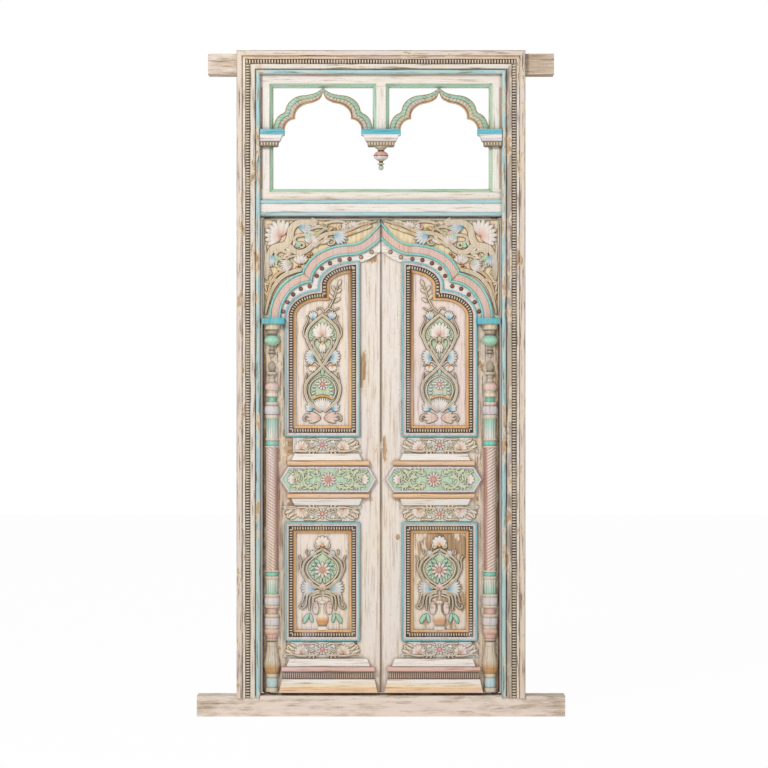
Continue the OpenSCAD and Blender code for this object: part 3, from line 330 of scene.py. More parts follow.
    def flower(self, x, y, count, radius, height, tip, root, heart):
        """Ring of petals round a button."""
        for k in range(count):
            a = 360 * k / count
            q = math.radians(a)
            self.petal(x - math.sin(q) * radius * 0.22, y + math.cos(q) * radius * 0.22, a, radius * 0.78,
                       3.5 * radius / count, height * 0.8, tip, root, 0.12)
        self.knob(x, y, radius * 0.34, height * 1.05, heart)

    def volute(self, x, y, radius, turns, width, hand, start, height, crest):
        """Coiled stem with a button at its eye."""
        n = int(turns * 14)
        path = []
        for k in range(n + 1):
            a = math.radians(start + hand * 360 * turns * k / n)
            r = radius * (1 - 0.76 * k / n)
            path.append((x + r * math.cos(a), y + r * math.sin(a)))
        self.vine(path, width, width * 0.7, height, crest)
        self.knob(x, y, width * 0.6, height * 1.05, crest, 3, 10)

    def slab(self, outline, low, high, top, side):
        """Flat board with the given outline, counter-clockwise."""
        points = [Vector((p[0], p[1], 0)) for p in outline]
        start = len(self.points)
        for p in points:
            self.put(p.x, p.y, high, top)
        for triangle in tessellate_polygon([points]):
            a, b, c = (points[i] for i in triangle)
            ahead = (b - a).cross(c - a).z > 0
            self.face([start + i for i in (triangle if ahead else triangle[::-1])], False)
        edge = points + points[:1]
        self.sheet([[(p.x, p.y, h, side) for p in edge] for h in (low, high)], False)

    def strips(self, path, bands, closed=False):
        """Moulding run along a path: each band is a paint and its section as (left-hand distance, height)."""
        sides = left_of(path, closed)
        loop = list(range(len(path))) + ([0] if closed else [])
        for paint, section in bands:
            rows = []
            for i in loop:
                spots = [(path[i] + sides[i] * d, h) for d, h in section]
                rows.append([(q.x, q.y, h, paint) for q, h in spots])
            self.sheet(rows)

    def beads(self, path, pitch, width, low, high, paint, fill, inset=0.0):
        """Row of pillow-shaped beads along a path; fill is the share of the pitch that a bead takes."""
        spots = evenly(path, pitch, inset)
        step = spots[1][2] - spots[0][2]
        steps = ((-0.5, 0), (-0.3, 0.85), (0, 1), (0.3, 0.85), (0.5, 0))
        # the rim of each bead, down in the gaps, is painted darker: painted shade with soil
        edge = blend(self.dirt_and_shade, paint, 0.25)
        for (p, n, _), (q, m, _) in zip(spots, spots[1:]):
            mid, left = (p + q) / 2, (n + m).normalized()
            ahead = Vector((left.y, -left.x))
            rows = []
            for a, za in steps:
                rows.append([])
                for b, zb in reversed(steps):
                    spot = mid + ahead * a * step * fill + left * b * width
                    rows[-1].append((spot.x, spot.y, low + (high - low) * min(1, 1.15 * za * zb),
                                     edge if za * zb == 0 else paint))
            self.sheet(rows)

    def turned(self, x, v0, steps, across=24, flank=None, groove=None):
        """Half-round turning on the face: steps of (height, radius below, radius above, bulge, paint below,
        paint above), and for some a cut(angle, height) that deepens the surface. flank paints the inner side,
        groove the cuts."""
        v = v0
        for height, r0, r1, bulge, low, high, *cut in steps:
            n = max(2, int(height / 1.5)) if cut else (1 if bulge == 0 else 7)
            rows = []
            for k in range(n + 1):
                t = k / n
                r = r0 + (r1 - r0) * t + bulge * math.sin(math.pi * t)
                row = []
                for c in range(across + 1):
                    a = math.pi * (1 - c / across)
                    deep = cut[0](a, v + height * t) * (1 if 0 < k < n else 0.2) if cut else 0.0
                    rr, shade = r - deep, blend(low, high, t)
                    if flank:
                        shade = blend(shade, flank, min(1, max(0, (math.cos(a) - 0.35) * 3)))
                    # the deeper the cut, the more of the groove paint: red paint with painted shade
                    if groove:
                        shade = blend(shade, groove, min(1, deep / 3))
                    # other cuts, and the creases at both ends of a bulging ring, are darkened: soil and
                    # painted shade
                    crease_soil_and_shade = (0 if groove else min(1, deep / 3.5) * 0.6) + (0.3 if k in (0, n) and bulge else 0)
                    row.append((x + rr * math.cos(a), v + height * t, max(rr * math.sin(a), -0.2),
                                blend(shade, self.dirt_and_shade, min(crease_soil_and_shade, 0.8))))
                rows.append(row)
            self.sheet(rows)
            v += height
        return v

    def piece(self, name, material, body, slot, *nodes):
        """Makes a piece that rides on a body and stands for the CAD nodes named."""
        mesh = bpy.data.meshes.new(name)
        mesh.from_pydata(self.points, [], self.faces)
        mesh.polygons.foreach_set("use_smooth", self.rounded)
        paint = mesh.color_attributes.new("Paint", "FLOAT_COLOR", "POINT")
        paint.data.foreach_set("color", [c for shade in self.paints for c in (*shade, 1.0)])
        mesh.materials.append(material)
        mesh.update()
        piece = bpy.data.objects.new(name, mesh)
        bpy.context.collection.objects.link(piece)
        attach(piece, body)
        if nodes:
            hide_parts(*nodes)


def palette(context):
    """The paints by name, as linear colours."""
    colours = context.scene.door_colours
    return SimpleNamespace(**{name: tuple(getattr(colours, name)) for name in DoorColours.__annotations__})


def leaf_carver(side, dirt_and_shade):
    """Carver on a leaf's face: u from the heel, v from the foot, h out of the face."""
    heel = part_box(side + "_hinge_stile")[0 if side == "left" else 1].x
    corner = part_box(side + "_meeting_stile")[0]
    way = 1 if side == "left" else -1

    def place(u, v, h):
        return heel + way * u * MM, corner.y - h * MM, corner.z + v * MM
    return Carver(place, way < 0, dirt_and_shade)


def frame_carver(dirt_and_shade):
    """Carver on the frame's front: x from the middle, z from the ground, h out of the front."""
    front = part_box("head_casing")[0].y

    def place(x, z, h):
        return x * MM, front - h * MM, z * MM
    return Carver(place, False, dirt_and_shade)


def leaf_span(side, node):
    """A node's lowest and highest u and v on its leaf, in millimetres."""
    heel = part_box(side + "_hinge_stile")[0 if side == "left" else 1].x
    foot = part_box(side + "_meeting_stile")[0].z
    low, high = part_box(side + "_" + node)
    us = sorted((abs(low.x - heel) / MM, abs(high.x - heel) / MM))
    return us[0], us[1], (low.z - foot) / MM, (high.z - foot) / MM


# Materials


def add(tree, kind, links=None, stops=(), **settings):
    """Adds a node, sets its properties, sockets (_1 is socket 1) and colour stops, and links its inputs."""
    node = tree.nodes.new("ShaderNode" + kind)
    for key, value in settings.items():
        if hasattr(node, key):
            setattr(node, key, value)
        else:
            node.inputs[int(key[1:]) if key[1:].isdigit() else key.replace("_", " ")].default_value = value
    for k, (place, colour) in enumerate(stops):
        ends = node.color_ramp.elements
        spot = ends[0] if k == 0 else ends[-1] if k == len(stops) - 1 else ends.new(place)
        spot.position, spot.color = place, (*colour, 1)
    for key, source in (links or {}).items():
        tree.links.new(source, node.inputs[key])
    return node


def grained(across, along, grain):
    """Pattern scale, in repeats per metre across and along a grain that runs on X or Z."""
    return (along, across, across) if grain == "X" else (across, across, along)


def new_material(name):
    """Material without nodes, and its tree."""
    material = bpy.data.materials.new(name)
    material.use_nodes = True
    material.node_tree.nodes.clear()
    return material, material.node_tree


def worn_places(tree, place, height, spots, face=0.0, near=0.0):
    """Adds round places (x, z, half width, half height, strength) to a pattern's height. They lie at y = face
    and fade behind it; near is one over the depth where they end, and 0 carries them through."""
    for x, z, wide, high, strength in spots:
        centred = add(tree, "Mapping", {"Vector": place["Object"]}, Scale=(1 / wide, near, 1 / high),
                      Location=(-x / wide, -face * near, -z / high))
        disc = add(tree, "TexGradient", {"Vector": centred.outputs[0]}, gradient_type="SPHERICAL")
        height = add(tree, "Math", {0: disc.outputs["Fac"], 2: height}, operation="MULTIPLY_ADD",
                     _1=strength).outputs[0]
    return height


def limewash(name, paints, colour=None, grain="Z", wear=0.2, zones=None, bevel=None, soil_and_shade=0.62, spots=(),
             face=0.0, streak="#C8B8A6", cracks=0.25):
    """Old limewash and oil paint on hand-worked teak, brushed on by hand and rubbed thin.

    Gives the eye chalky, uneven colour with streaks along the grain, chips down to a pale undercoat and to
    bare brown wood, soil and painted shade in the corners, and a dry surface. Flakes are 20 to 110 mm long,
    grain lines about 7 mm apart: the real pores are finer, and are drawn that coarse to show.
    colour None takes each form's own paint. zones is (axis, start, end, deepest y, stops) for strips of paint
    along one direction, both ways from the middle. bevel paints faces that slant to the front. spots are worn
    places on the front at y = face, (x, z, half width, half height, strength). streak is the colour of the
    darkest grain lines, cracks the strength of the dark hairlines along the grain.
    """
    material, tree = new_material(name)
    place = add(tree, "TexCoord").outputs
    lines = add(tree, "Mapping", {"Vector": place["Object"]}, Scale=grained(140, 7.5, grain))
    fibres = add(tree, "TexNoise", {"Vector": lines.outputs[0]}, Scale=1.0, Detail=5.0, Roughness=0.62)
    spread = add(tree, "Mapping", {"Vector": place["Object"]}, Scale=grained(27, 9, grain))
    flakes = add(tree, "TexNoise", {"Vector": spread.outputs[0]}, Scale=1.0, Detail=8.0, Roughness=0.66)
    drift = add(tree, "Mapping", {"Vector": place["Object"]}, Scale=grained(9, 2, grain))
    clouds = add(tree, "TexNoise", {"Vector": drift.outputs[0]}, Scale=1.0, Detail=4.0, Roughness=0.6)
    specks = add(tree, "TexNoise", {"Vector": place["Object"]}, Scale=170.0, Detail=3.0, Roughness=0.6)

    # the coat is a link or, where one colour serves, a constant
    coat, plain = {}, {}
    if colour is None:
        coat[6] = add(tree, "Attribute", attribute_name="Paint").outputs["Color"]
    else:
        plain["_6"] = (*colour, 1)
    if zones:
        axis, start, end, deepest, stops = zones
        parts = add(tree, "SeparateXYZ", {"Vector": place["Object"]})
        far = add(tree, "Math", {0: parts.outputs[axis]}, operation="ABSOLUTE")
        span = add(tree, "MapRange", {"Value": far.outputs[0]}, From_Min=start, From_Max=end)
        strip = add(tree, "ValToRGB", {"Fac": span.outputs[0]}, stops)
        strip.color_ramp.interpolation = "CONSTANT"
        front = add(tree, "Math", {0: parts.outputs["Y"]}, operation="LESS_THAN", _1=deepest)
        banded = add(tree, "Mix", {0: front.outputs[0], 7: strip.outputs["Color"], **coat}, data_type="RGBA",
                     **plain)
        coat, plain = {6: banded.outputs[2]}, {}
    if bevel:
        facing = add(tree, "SeparateXYZ", {"Vector": place["Normal"]})
        slant = add(tree, "Math", {0: facing.outputs["Y"]}, operation="COMPARE", _1=-0.7, _2=0.15)
        edged = add(tree, "Mix", {0: slant.outputs[0], **coat}, data_type="RGBA", _7=(*bevel, 1), **plain)
        coat, plain = {6: edged.outputs[2]}, {}

    # uneven coat: yellowed and faded places, brush streaks and specks
    yellow = add(tree, "MapRange", {"Value": clouds.outputs["Fac"]}, From_Min=0.5, From_Max=0.3, To_Max=0.3)
    warm = add(tree, "Mix", {0: yellow.outputs[0], **coat}, data_type="RGBA", _7=(*paints.sand, 1), **plain)
    faded = add(tree, "MapRange", {"Value": clouds.outputs["Fac"]}, From_Min=0.52, From_Max=0.72, To_Max=0.4)
    cool = add(tree, "Mix", {0: faded.outputs[0], 6: warm.outputs[2]}, data_type="RGBA",
               _7=(*paints.lavender, 1))
    tint = add(tree, "ValToRGB", {"Fac": fibres.outputs["Fac"]},
               [(0.33, linear(streak)), (0.43, linear("#F1EBE4")), (0.5, (1, 1, 1))])
    streaked = add(tree, "Mix", {6: cool.outputs[2], 7: tint.outputs["Color"]}, data_type="RGBA",
                   blend_type="MULTIPLY", _0=0.8)
    speck = add(tree, "ValToRGB", {"Fac": specks.outputs["Fac"]},
                [(0.27, linear("#C9B9A6")), (0.38, (1, 1, 1))])
    dotted = add(tree, "Mix", {6: streaked.outputs[2], 7: speck.outputs["Color"]}, data_type="RGBA",
                 blend_type="MULTIPLY", _0=0.7)
    hair = add(tree, "MapRange", {"Value": fibres.outputs["Fac"]}, From_Min=0.38 + 0.1 * cracks,
               From_Max=0.34, To_Max=cracks)
    lined = add(tree, "Mix", {0: hair.outputs[0], 6: dotted.outputs[2]}, data_type="RGBA",
                _7=(*blend(paints.dirt_and_shade, paints.wood, 0.3), 1))

    # flakes gather in places, broken along the grain: first to the undercoat, then to the wood
    torn = add(tree, "Math", {0: fibres.outputs["Fac"], 2: flakes.outputs["Fac"]}, operation="MULTIPLY_ADD",
               _1=0.3)
    torn = add(tree, "Math", {0: clouds.outputs["Fac"], 2: torn.outputs[0]}, operation="MULTIPLY_ADD",
               _1=0.45)
    torn = worn_places(tree, place, torn.outputs[0], spots, face, 1 / SPOT_DEPTH)
    mean, scatter = 0.875, 0.148
    level = mean + scatter * (3.2 - 4 * wear)
    thin = add(tree, "MapRange", {"Value": torn}, From_Min=level - 0.08, From_Max=level)
    bare = add(tree, "MapRange", {"Value": torn}, From_Min=level + 0.01, From_Max=level + 0.04)
    timber = add(tree, "ValToRGB", {"Fac": fibres.outputs["Fac"]},
                 [(0.33, blend(paints.wood, paints.dirt_and_shade, 0.6)), (0.5, paints.wood),
                  (0.66, blend(paints.wood, paints.sand, 0.45))])
    under = add(tree, "Mix", {0: thin.outputs[0], 6: lined.outputs[2]}, data_type="RGBA",
                _7=(*linear("#DECEB8"), 1))
    worn = add(tree, "Mix", {0: bare.outputs[0], 6: under.outputs[2], 7: timber.outputs["Color"]},
               data_type="RGBA")

    # soil and painted shade: darker where ambient occlusion finds surfaces meeting
    corner = add(tree, "AmbientOcclusion", samples=2, Distance=0.015)
    soil_and_shade_mask = add(tree, "MapRange", {"Value": corner.outputs["AO"]}, From_Min=0.88, From_Max=0.32, To_Max=soil_and_shade)
    finish = add(tree, "Mix", {0: soil_and_shade_mask.outputs[0], 6: worn.outputs[2]}, data_type="RGBA",
                 _7=(*paints.dirt_and_shade, 1))

    rough = add(tree, "MapRange", {"Value": bare.outputs[0]}, To_Min=0.62, To_Max=0.86)
    coats = add(tree, "Math", {0: bare.outputs[0], 2: fibres.outputs["Fac"]}, operation="MULTIPLY_ADD",
                _1=-0.8)
    bump = add(tree, "Bump", {"Height": coats.outputs[0]}, Strength=0.45, Distance=0.0012)
    surface = add(tree, "BsdfPrincipled", {"Base Color": finish.outputs[2], "Roughness": rough.outputs[0],
                                           "Normal": bump.outputs[0]}, IOR=1.5)
    add(tree, "OutputMaterial", {"Surface": surface.outputs[0]})
    return material


def old_teak(name, paints):
    """Weathered teak timber, adzed and left bare, with remains of white wash.

    Gives the eye grey-brown boards with long cracks along the grain, pale wash in patches and a dry
    surface. Cracks are 60 to 300 mm long.
    """
    material, tree = new_material(name)
    place = add(tree, "TexCoord").outputs
    lines = add(tree, "Mapping", {"Vector": place["Object"]}, Scale=grained(130, 5.2, "X"))
    fibres = add(tree, "TexNoise", {"Vector": lines.outputs[0]}, Scale=1.0, Detail=7.0, Roughness=0.65)
    patch = add(tree, "Mapping", {"Vector": place["Object"]}, Scale=grained(62, 10, "X"))
    wash = add(tree, "TexNoise", {"Vector": patch.outputs[0]}, Scale=1.0, Detail=8.0, Roughness=0.68)
    timber = add(tree, "ValToRGB", {"Fac": fibres.outputs["Fac"]},
                 [(0.3, linear("#6E5A48")), (0.4, linear("#A28D76")), (0.55, linear("#C4B09A")),
                  (0.7, linear("#D6C6B3"))])
    # less wash is left on the ends of the timbers
    bare = worn_places(tree, place, wash.outputs["Fac"], (
        (0.63, 2.6, 0.16, 0.14, -0.34), (-0.63, 2.6, 0.16, 0.14, -0.12), (0.70, 0.06, 0.16, 0.1, -0.17),
        (-0.7, 0.05, 0.1, 0.06, -0.12)))
    cover = add(tree, "MapRange", {"Value": bare}, From_Min=0.3, From_Max=0.52, To_Max=0.87)
    washed = add(tree, "Mix", {0: cover.outputs[0], 6: timber.outputs["Color"]}, data_type="RGBA",
                 _7=(*blend(paints.blush, paints.sand, 0.2), 1))
    cracks = add(tree, "MapRange", {"Value": fibres.outputs["Fac"]}, From_Min=0.36, From_Max=0.31)
    split = add(tree, "Mix", {0: cracks.outputs[0], 6: washed.outputs[2]}, data_type="RGBA",
                _7=(*paints.dirt_and_shade, 1))
    bump = add(tree, "Bump", {"Height": fibres.outputs["Fac"]}, Strength=0.7, Distance=0.002)
    surface = add(tree, "BsdfPrincipled", {"Base Color": split.outputs[2], "Normal": bump.outputs[0]},
                  Roughness=0.85, IOR=1.5)
    add(tree, "OutputMaterial", {"Surface": surface.outputs[0]})
    return material


def finish_nodes(material, *nodes):
    """Gives CAD nodes a finish."""
    for node in nodes:
        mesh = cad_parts[node].data
        mesh.materials.clear()
        mesh.materials.append(material)


def carved_paint(paints):
    """One shared finish for every carved form with its own paints."""
    name = "Chalk paint on carved teak"
    made = bpy.data.materials.get(name)
    return made or limewash(name, paints, wear=0.14, soil_and_shade=0.2, streak="#E2D8CC", cracks=0.1)


def leaf_piece(carver, side, node, slot, paints):
    """Makes what was carved on a leaf the piece that stands for one of its CAD nodes."""
    carver.piece("%s_%s" % (side.title(), node), carved_paint(paints), side + "_leaf", slot,
                 "%s_%s" % (side, node))


def strips_up(node, stops):
    """Strips of paint up a CAD node, through its whole depth."""
    low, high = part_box(node)
    return "Z", low.z, high.z, high.y + 0.01, stops


# Frame


class DOOR_OT_frame_timber(bpy.types.Operator):
    """Finish sill, head beam, jambs, head casing and transom bar"""
    bl_idname = "door.frame_timber"
    bl_label = "Frame timber"

    def execute(self, context):
        p = palette(context)
        finish_nodes(old_teak("Weathered teak", p), "sill", "head_beam")
        # moulded layer on the front of the posts: its width, and the y where it ends
        layer, deepest = 0.094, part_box("head_beam")[0].y - 0.001
        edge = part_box("right_jamb")[1].x
        chalk = blend(p.white, p.stone, 0.2)
        blush = blend(blend(blend(p.pink, chalk, 0.75), p.lavender, 0.3), p.stone, 0.3)
        rim = blend(blend(p.pale_blue, chalk, 0.1), p.dirt_and_shade, 0.1)
        # dark lines at the steps of the moulded layer and the dark seat under the beads are soil and painted
        # shade
        line = p.dirt_and_shade
        stops = [(0, rim), (0.17, line), (0.2, chalk), (0.41, line), (0.63, chalk), (0.735, line),
                 (0.765, blush), (0.97, blend(blush, line, 0.55))]
        # the right post's strip between its round edge and the beads is painted grey: painted shade
        grey = blend(blend(p.lavender, p.stone, 0.6), p.dirt_and_shade, 0.45)
        for side, wear, cracks, band in (("left", 0.62, 0.75, chalk), ("right", 0.64, 0.85, grey)):
            strips = stops[:2] + [(0.2, band)] + stops[3:]
            post = limewash("Limewashed teak %s post" % side, p, chalk, "Z", wear,
                            ("X", edge - layer, edge, deepest, strips), streak=DARK_STREAK, cracks=cracks)
            finish_nodes(post, side + "_jamb")
        low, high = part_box("head_casing")
        stops[4] = (0.63, blend(p.ochre, blush, 0.6))
        head = limewash("Limewashed teak head", p, chalk, "X", 0.56, ("Z", low.z, high.z, deepest, stops),
                        streak=DARK_STREAK, cracks=0.5)
        finish_nodes(head, "head_casing")
        low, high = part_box("transom_bar")
        stops = [(0, rim), (0.24, p.white), (0.76, rim)]
        bar = limewash("Limewashed teak bar", p, p.white, "X", 0.26,
                       ("Z", low.z, high.z, low.y + 0.02, stops))
        finish_nodes(bar, "transom_bar")
        return {"FINISHED"}


class DOOR_OT_frame_beads(bpy.types.Operator):
    """Rows of beads let into jambs and head casing, and dark lips of painted shade round the leaves"""
    bl_idname = "door.frame_beads"
    bl_label = "Frame beads"

    def execute(self, context):
        p, sizes = palette(context), context.scene.door_sizes
        carver = frame_carver(p.dirt_and_shade)
        low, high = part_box("bead_strips")
        wide, seat, crown, fill = 19.0, -10.2, -2.6, 0.64
        mid, top, foot = high.x / MM - wide / 2, high.z / MM - wide / 2, low.z / MM
        bead = blend(p.stone, p.white, 0.3)
        for a, b in (((-mid, top - 11), (-mid, foot)), ((mid, foot), (mid, top - 11)),
                     ((mid + 9, top), (-mid - 9, top))):
            carver.beads([Vector(a), Vector(b)], sizes.bead_pitch, wide, seat, crown, bead, fill)
        carver.piece("Frame_beads", carved_paint(p), "frame", "bead_paint", "bead_strips")

        # thin dark lips that the closed leaves stand behind: painted shade in the gaps round the leaves
        shade_lips = frame_carver(p.dirt_and_shade)
        low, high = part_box("left_hinge_stile")[0] / MM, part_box("left_meeting_stile")[1] / MM
        foot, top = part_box("sill")[1].z / MM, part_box("transom_bar")[0].z / MM
        edge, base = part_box("right_jamb")[0].x / MM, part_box("left_meeting_stile")[0].z / MM
        face = (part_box("head_casing")[0].y - low.y * MM) / MM
        clear, thick = 0.6, 4
        side = -low.x + 0.8
        for x0, x1, z0, z1 in ((-edge, -side, foot, top), (side, edge, foot, top),
                               (-side, side, high.z + clear, top), (-side, side, foot, base - clear)):
            shade_lips.slab([(x0, z0), (x1, z0), (x1, z1), (x0, z1)], face + clear, face + thick, p.dirt_and_shade, p.dirt_and_shade)
        shade_lips.piece("Rebate_lips", carved_paint(p), "frame", "bare_wood")
        return {"FINISHED"}


class DOOR_OT_fanlight_sash(bpy.types.Operator):
    """Finish the fanlight's sash"""
    bl_idname = "door.fanlight_sash"
    bl_label = "Fanlight sash"

    def execute(self, context):
        p = palette(context)
        green = blend(blend(p.green, p.turquoise, 0.3), p.stone, 0.25)
        # both sash finishes darken strongly where surfaces meet, and the outer part of each stile by the jamb
        # is painted brown: painted shade with soil
        level = limewash("Limewashed sash rails", p, blend(p.white, p.cream, 0.6), "X", 0.3, bevel=green,
                         soil_and_shade=0.7)
        low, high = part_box("fanlight_right_stile")
        brown = blend(p.wood, p.cream, 0.3)
        stops = [(0, p.white), (0.8, brown)]
        upright = limewash("Limewashed sash stiles", p, p.white, "Z", 0.3,
                           ("X", low.x, high.x, high.y, stops), green, 0.7)
        finish_nodes(level, "fanlight_top_rail", "fanlight_bottom_rail")
        finish_nodes(upright, "fanlight_left_stile", "fanlight_right_stile", "fanlight_mullion")
        return {"FINISHED"}


class DOOR_OT_fanlight_fret(bpy.types.Operator):
    """Cusped fretwork arches, their capitals and the pendant"""
    bl_idname = "door.fanlight_fret"
    bl_label = "Fanlight fretwork"

    def execute(self, context):
        p = palette(context)
        low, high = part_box("fanlight_arches")
        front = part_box("head_casing")[0].y
        face, back = (front - low.y) / MM, (front - high.y) / MM
        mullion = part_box("fanlight_mullion")[1].x / MM
        span = (high.x / MM - mullion) / 2
        mid, rise, foot = mullion + span, (high.z - low.z) / MM, low.z / MM
        knee, tip, reach = span * 0.76, span * 0.56, 46.0
        outer = (arc(-knee, 0, span - knee, rise * 0.4, 180, 100)
                 + arc(-knee + span * 0.4, rise * 0.42, span * 0.4, rise * 0.4, 176, 90)
                 + smooth([(-span * 0.3, rise * 0.83), (-span * 0.14, rise * 0.88), (0, rise)]))
        inner = (arc(-tip, 0, span - reach - tip, rise * 0.26, 180, 90)
                 + arc(-tip + span * 0.36, rise * 0.32, span * 0.36, rise * 0.32, 184, 100)
                 + smooth([(-span * 0.2, rise * 0.65), (-span * 0.06, rise * 0.74), (0, rise * 0.9)]))
        count = 96
        rims = [[q for q, _, _ in evenly(line, lengths(line)[-1] / (count + 0.5))] for line in (inner, outer)]
        leafy, grey = blend(p.green, p.turquoise, 0.25), blend(p.stone, p.white, 0.2)
        # across the band, from the opening outward: place, height over the face, carving, paint
        # the dark lines in the band, and the darker hollows of the carved parts, are painted shade with soil
        lines = ((0, -1.5, 0, p.ochre), (0.05, 0.8, 0, p.ochre), (0.09, -2.2, 0, p.dirt_and_shade), (0.28, 0, 1, grey),
                 (0.48, 0, 1, grey), (0.54, 0.4, 0.3, p.dirt_and_shade), (0.6, 0, 1, leafy), (0.9, 0, 1, leafy),
                 (0.93, -2.2, 0, p.dirt_and_shade), (0.965, 0.8, 0, p.ochre), (1, -1.5, 0, p.ochre))
        carver = frame_carver(p.dirt_and_shade)
        for centre in (-mid, mid):
            for way in (1, -1):
                carver.stand(centre, foot, 0, way)
                rows = []
                for k, (a, b) in enumerate(zip(*rims)):
                    row = []
                    for t, lift, carved, paint in reversed(lines):
                        q = a + (b - a) * t
                        ridge = carved * math.sin(k * 1.15 + 7 * abs(t - 0.5))
                        row.append((q.x, q.y, face + lift + ridge * 1.2,
                                    blend(paint, p.dirt_and_shade, carved * (0.2 - 0.2 * ridge))))
                    rows.append(row)
                carver.sheet(rows)
                for rim, edge, flip in ((rims[0], p.stone, 1), (rims[1], leafy, -1)):
                    carver.sheet([[(q.x, q.y, h, edge) for h in (face - 1.5, back)[::flip]] for q in rim])
                carver.sheet([[(q.x, q.y, back, leafy) for q in ends] for ends in zip(*rims)], False)
        carver.piece("Fanlight_arches", carved_paint(p), "frame", "green_paint", "fanlight_arches")

        low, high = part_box("centre_bracket")
        stops = [(0, blend(p.dirt_and_shade, p.stone, 0.25)), (0.3, p.lavender), (0.5, p.white),
                 (0.67, blend(p.blue, p.turquoise, 0.3))]
        # a row of beads runs low across each capital
        row, face, level = frame_carver(p.dirt_and_shade), (front - low.y) / MM, low.z / MM + 9
        edge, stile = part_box("side_brackets")[1].x / MM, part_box("fanlight_right_stile")
        side, reach = edge - (stile[1].x - stile[0].x) / MM - 20, high.x / MM - 26
        pitch, wide, seat, crown, fill = 11.5, 14, face - 0.2, face + 3, 0.7
        for a, b in ((-edge + 1, -side), (-reach, reach), (side, edge - 1)):
            row.beads([Vector((a, level)), Vector((b, level))], pitch, wide, seat, crown, p.stone, fill)
        row.piece("Bracket_beads", carved_paint(p), "frame", "bead_paint")
        finish_nodes(limewash("Oil paint on carved capitals", p, p.white, "X", 0.26,
                              strips_up("centre_bracket", stops)), "side_brackets", "centre_bracket")
        grey = blend(p.pale_blue, p.stone, 0.55)
        # the thin dark rings between the turned parts are soil and painted shade
        stops = [(0, grey), (0.18, p.dirt_and_shade), (0.23, p.stone), (0.31, p.dirt_and_shade), (0.37, p.stone),
                 (0.44, blend(p.lavender, p.white, 0.5)), (0.58, p.dirt_and_shade), (0.615, p.pink), (0.78, p.dirt_and_shade),
                 (0.84, p.stone)]
        finish_nodes(limewash("Oil paint on turned pendant", p, p.pink, "Z", 0.26,
                              strips_up("pendant", stops)), "pendant")
        return {"FINISHED"}


# Leaves


class DOOR_OT_leaf_boards(bpy.types.Operator):
    """Finish stiles, rails and panels"""
    bl_idname = "door.leaf_boards"
    bl_label = "Leaf boards"

    def execute(self, context):
        p = palette(context)
        tan, face = blend(p.cream, p.wood, 0.6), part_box("left_meeting_stile")[0].y
        ground = blend(blend(p.blush, p.cream, 0.5), p.sand, 0.15)
        # these strips of paint run through the whole thickness, which is far under half a metre
        through = face + 0.5
        # the heel strip by the jamb is painted darker brown: bare wood with painted shade
        low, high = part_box("right_hinge_stile")
        heel = ("X", low.x, high.x, through, [(0, tan), (0.82, blend(p.wood, p.dirt_and_shade, 0.15))])
        # soil and painted shade along the line where the leaves meet
        seam = ("X", 0, 0.1, through, [(0, p.dirt_and_shade), (0.03, blend(p.wood, p.cream, 0.4)), (0.06, p.cream)])
        # worn places: x, z, half width, half height, strength
        worn_stile = {
            "left": ((-0.068, 1.40, 0.024, 0.13, 0.6), (-0.046, 1.842, 0.05, 0.05, 0.62),
                     (-0.09, 1.34, 0.02, 0.24, 0.35), (-0.022, 1.062, 0.05, 0.1, 0.35)),
            "right": ((0.016, 1.065, 0.024, 0.1, 0.4), (0.068, 0.716, 0.012, 0.018, 0.8),
                      (0.09, 1.25, 0.016, 0.2, 0.3))}
        worn_rail = {
            "left": ((-0.385, 1.085, 0.06, 0.07, 0.9), (-0.368, 0.82, 0.05, 0.06, 0.5),
                     (-0.10, 0.285, 0.05, 0.03, 0.6), (-0.37, 0.26, 0.04, 0.03, 0.4)),
            "right": ((0.39, 0.84, 0.03, 0.06, 0.5), (0.365, 0.272, 0.05, 0.045, 0.6),
                      (0.10, 0.82, 0.03, 0.05, 0.4))}
        worn_panel = {
            "left": ((-0.12, 0.66, 0.06, 0.05, 0.3),),
            "right": ((0.25, 0.69, 0.15, 0.09, 0.5), (0.25, 0.52, 0.17, 0.24, 0.22))}
        flaked = {"left": 0.34, "right": 0.56}
        hinge = limewash("Rubbed limewash on hinge stiles", p, tan, "Z", 0.66, heel, streak=DARK_STREAK,
                         cracks=0.75)
        upper = {"left": ground, "right": blend(p.blush, p.pink, 0.12)}
        for side in SIDES:
            finish_nodes(hinge, side + "_hinge_stile")
            stile = limewash("Limewash on %s meeting stile" % side, p, p.cream, "Z", 0.36, seam,
                             spots=worn_stile[side], face=face, streak="#D9CDC0", cracks=0.12)
            finish_nodes(stile, side + "_meeting_stile")
            rails = limewash("Limewash on %s rails" % side, p, blend(p.cream, p.sand, 0.3), "X", 0.42,
                             spots=worn_rail[side], face=face)
            finish_nodes(rails, side + "_top_rail", side + "_lock_rail", side + "_bottom_rail")
            board = limewash("Blush limewash on %s upper panel" % side, p, upper[side], "Z", 0.36,
                             cracks=0.12)
            finish_nodes(board, side + "_upper_panel")
            board = limewash("Flaked limewash on %s lower panel" % side, p, ground, "Z", flaked[side],
                             spots=worn_panel[side], face=face - PANEL_FACE * MM)
            finish_nodes(board, side + "_lower_panel")
        # dark tongue in the gap where the leaves meet: painted shade
        shade_tongue = leaf_carver("left", p.dirt_and_shade)
        _, edge, foot, top = leaf_span("left", "meeting_stile")
        inside, out, back, front = edge - 0.3, edge + 1.2, -26, -16
        shade_tongue.slab([(inside, foot), (out, foot), (out, top), (inside, top)], back, front, p.dirt_and_shade, p.dirt_and_shade)
        shade_tongue.piece("Meeting_tongue", carved_paint(p), "left_leaf", "bare_wood")
        return {"FINISHED"}


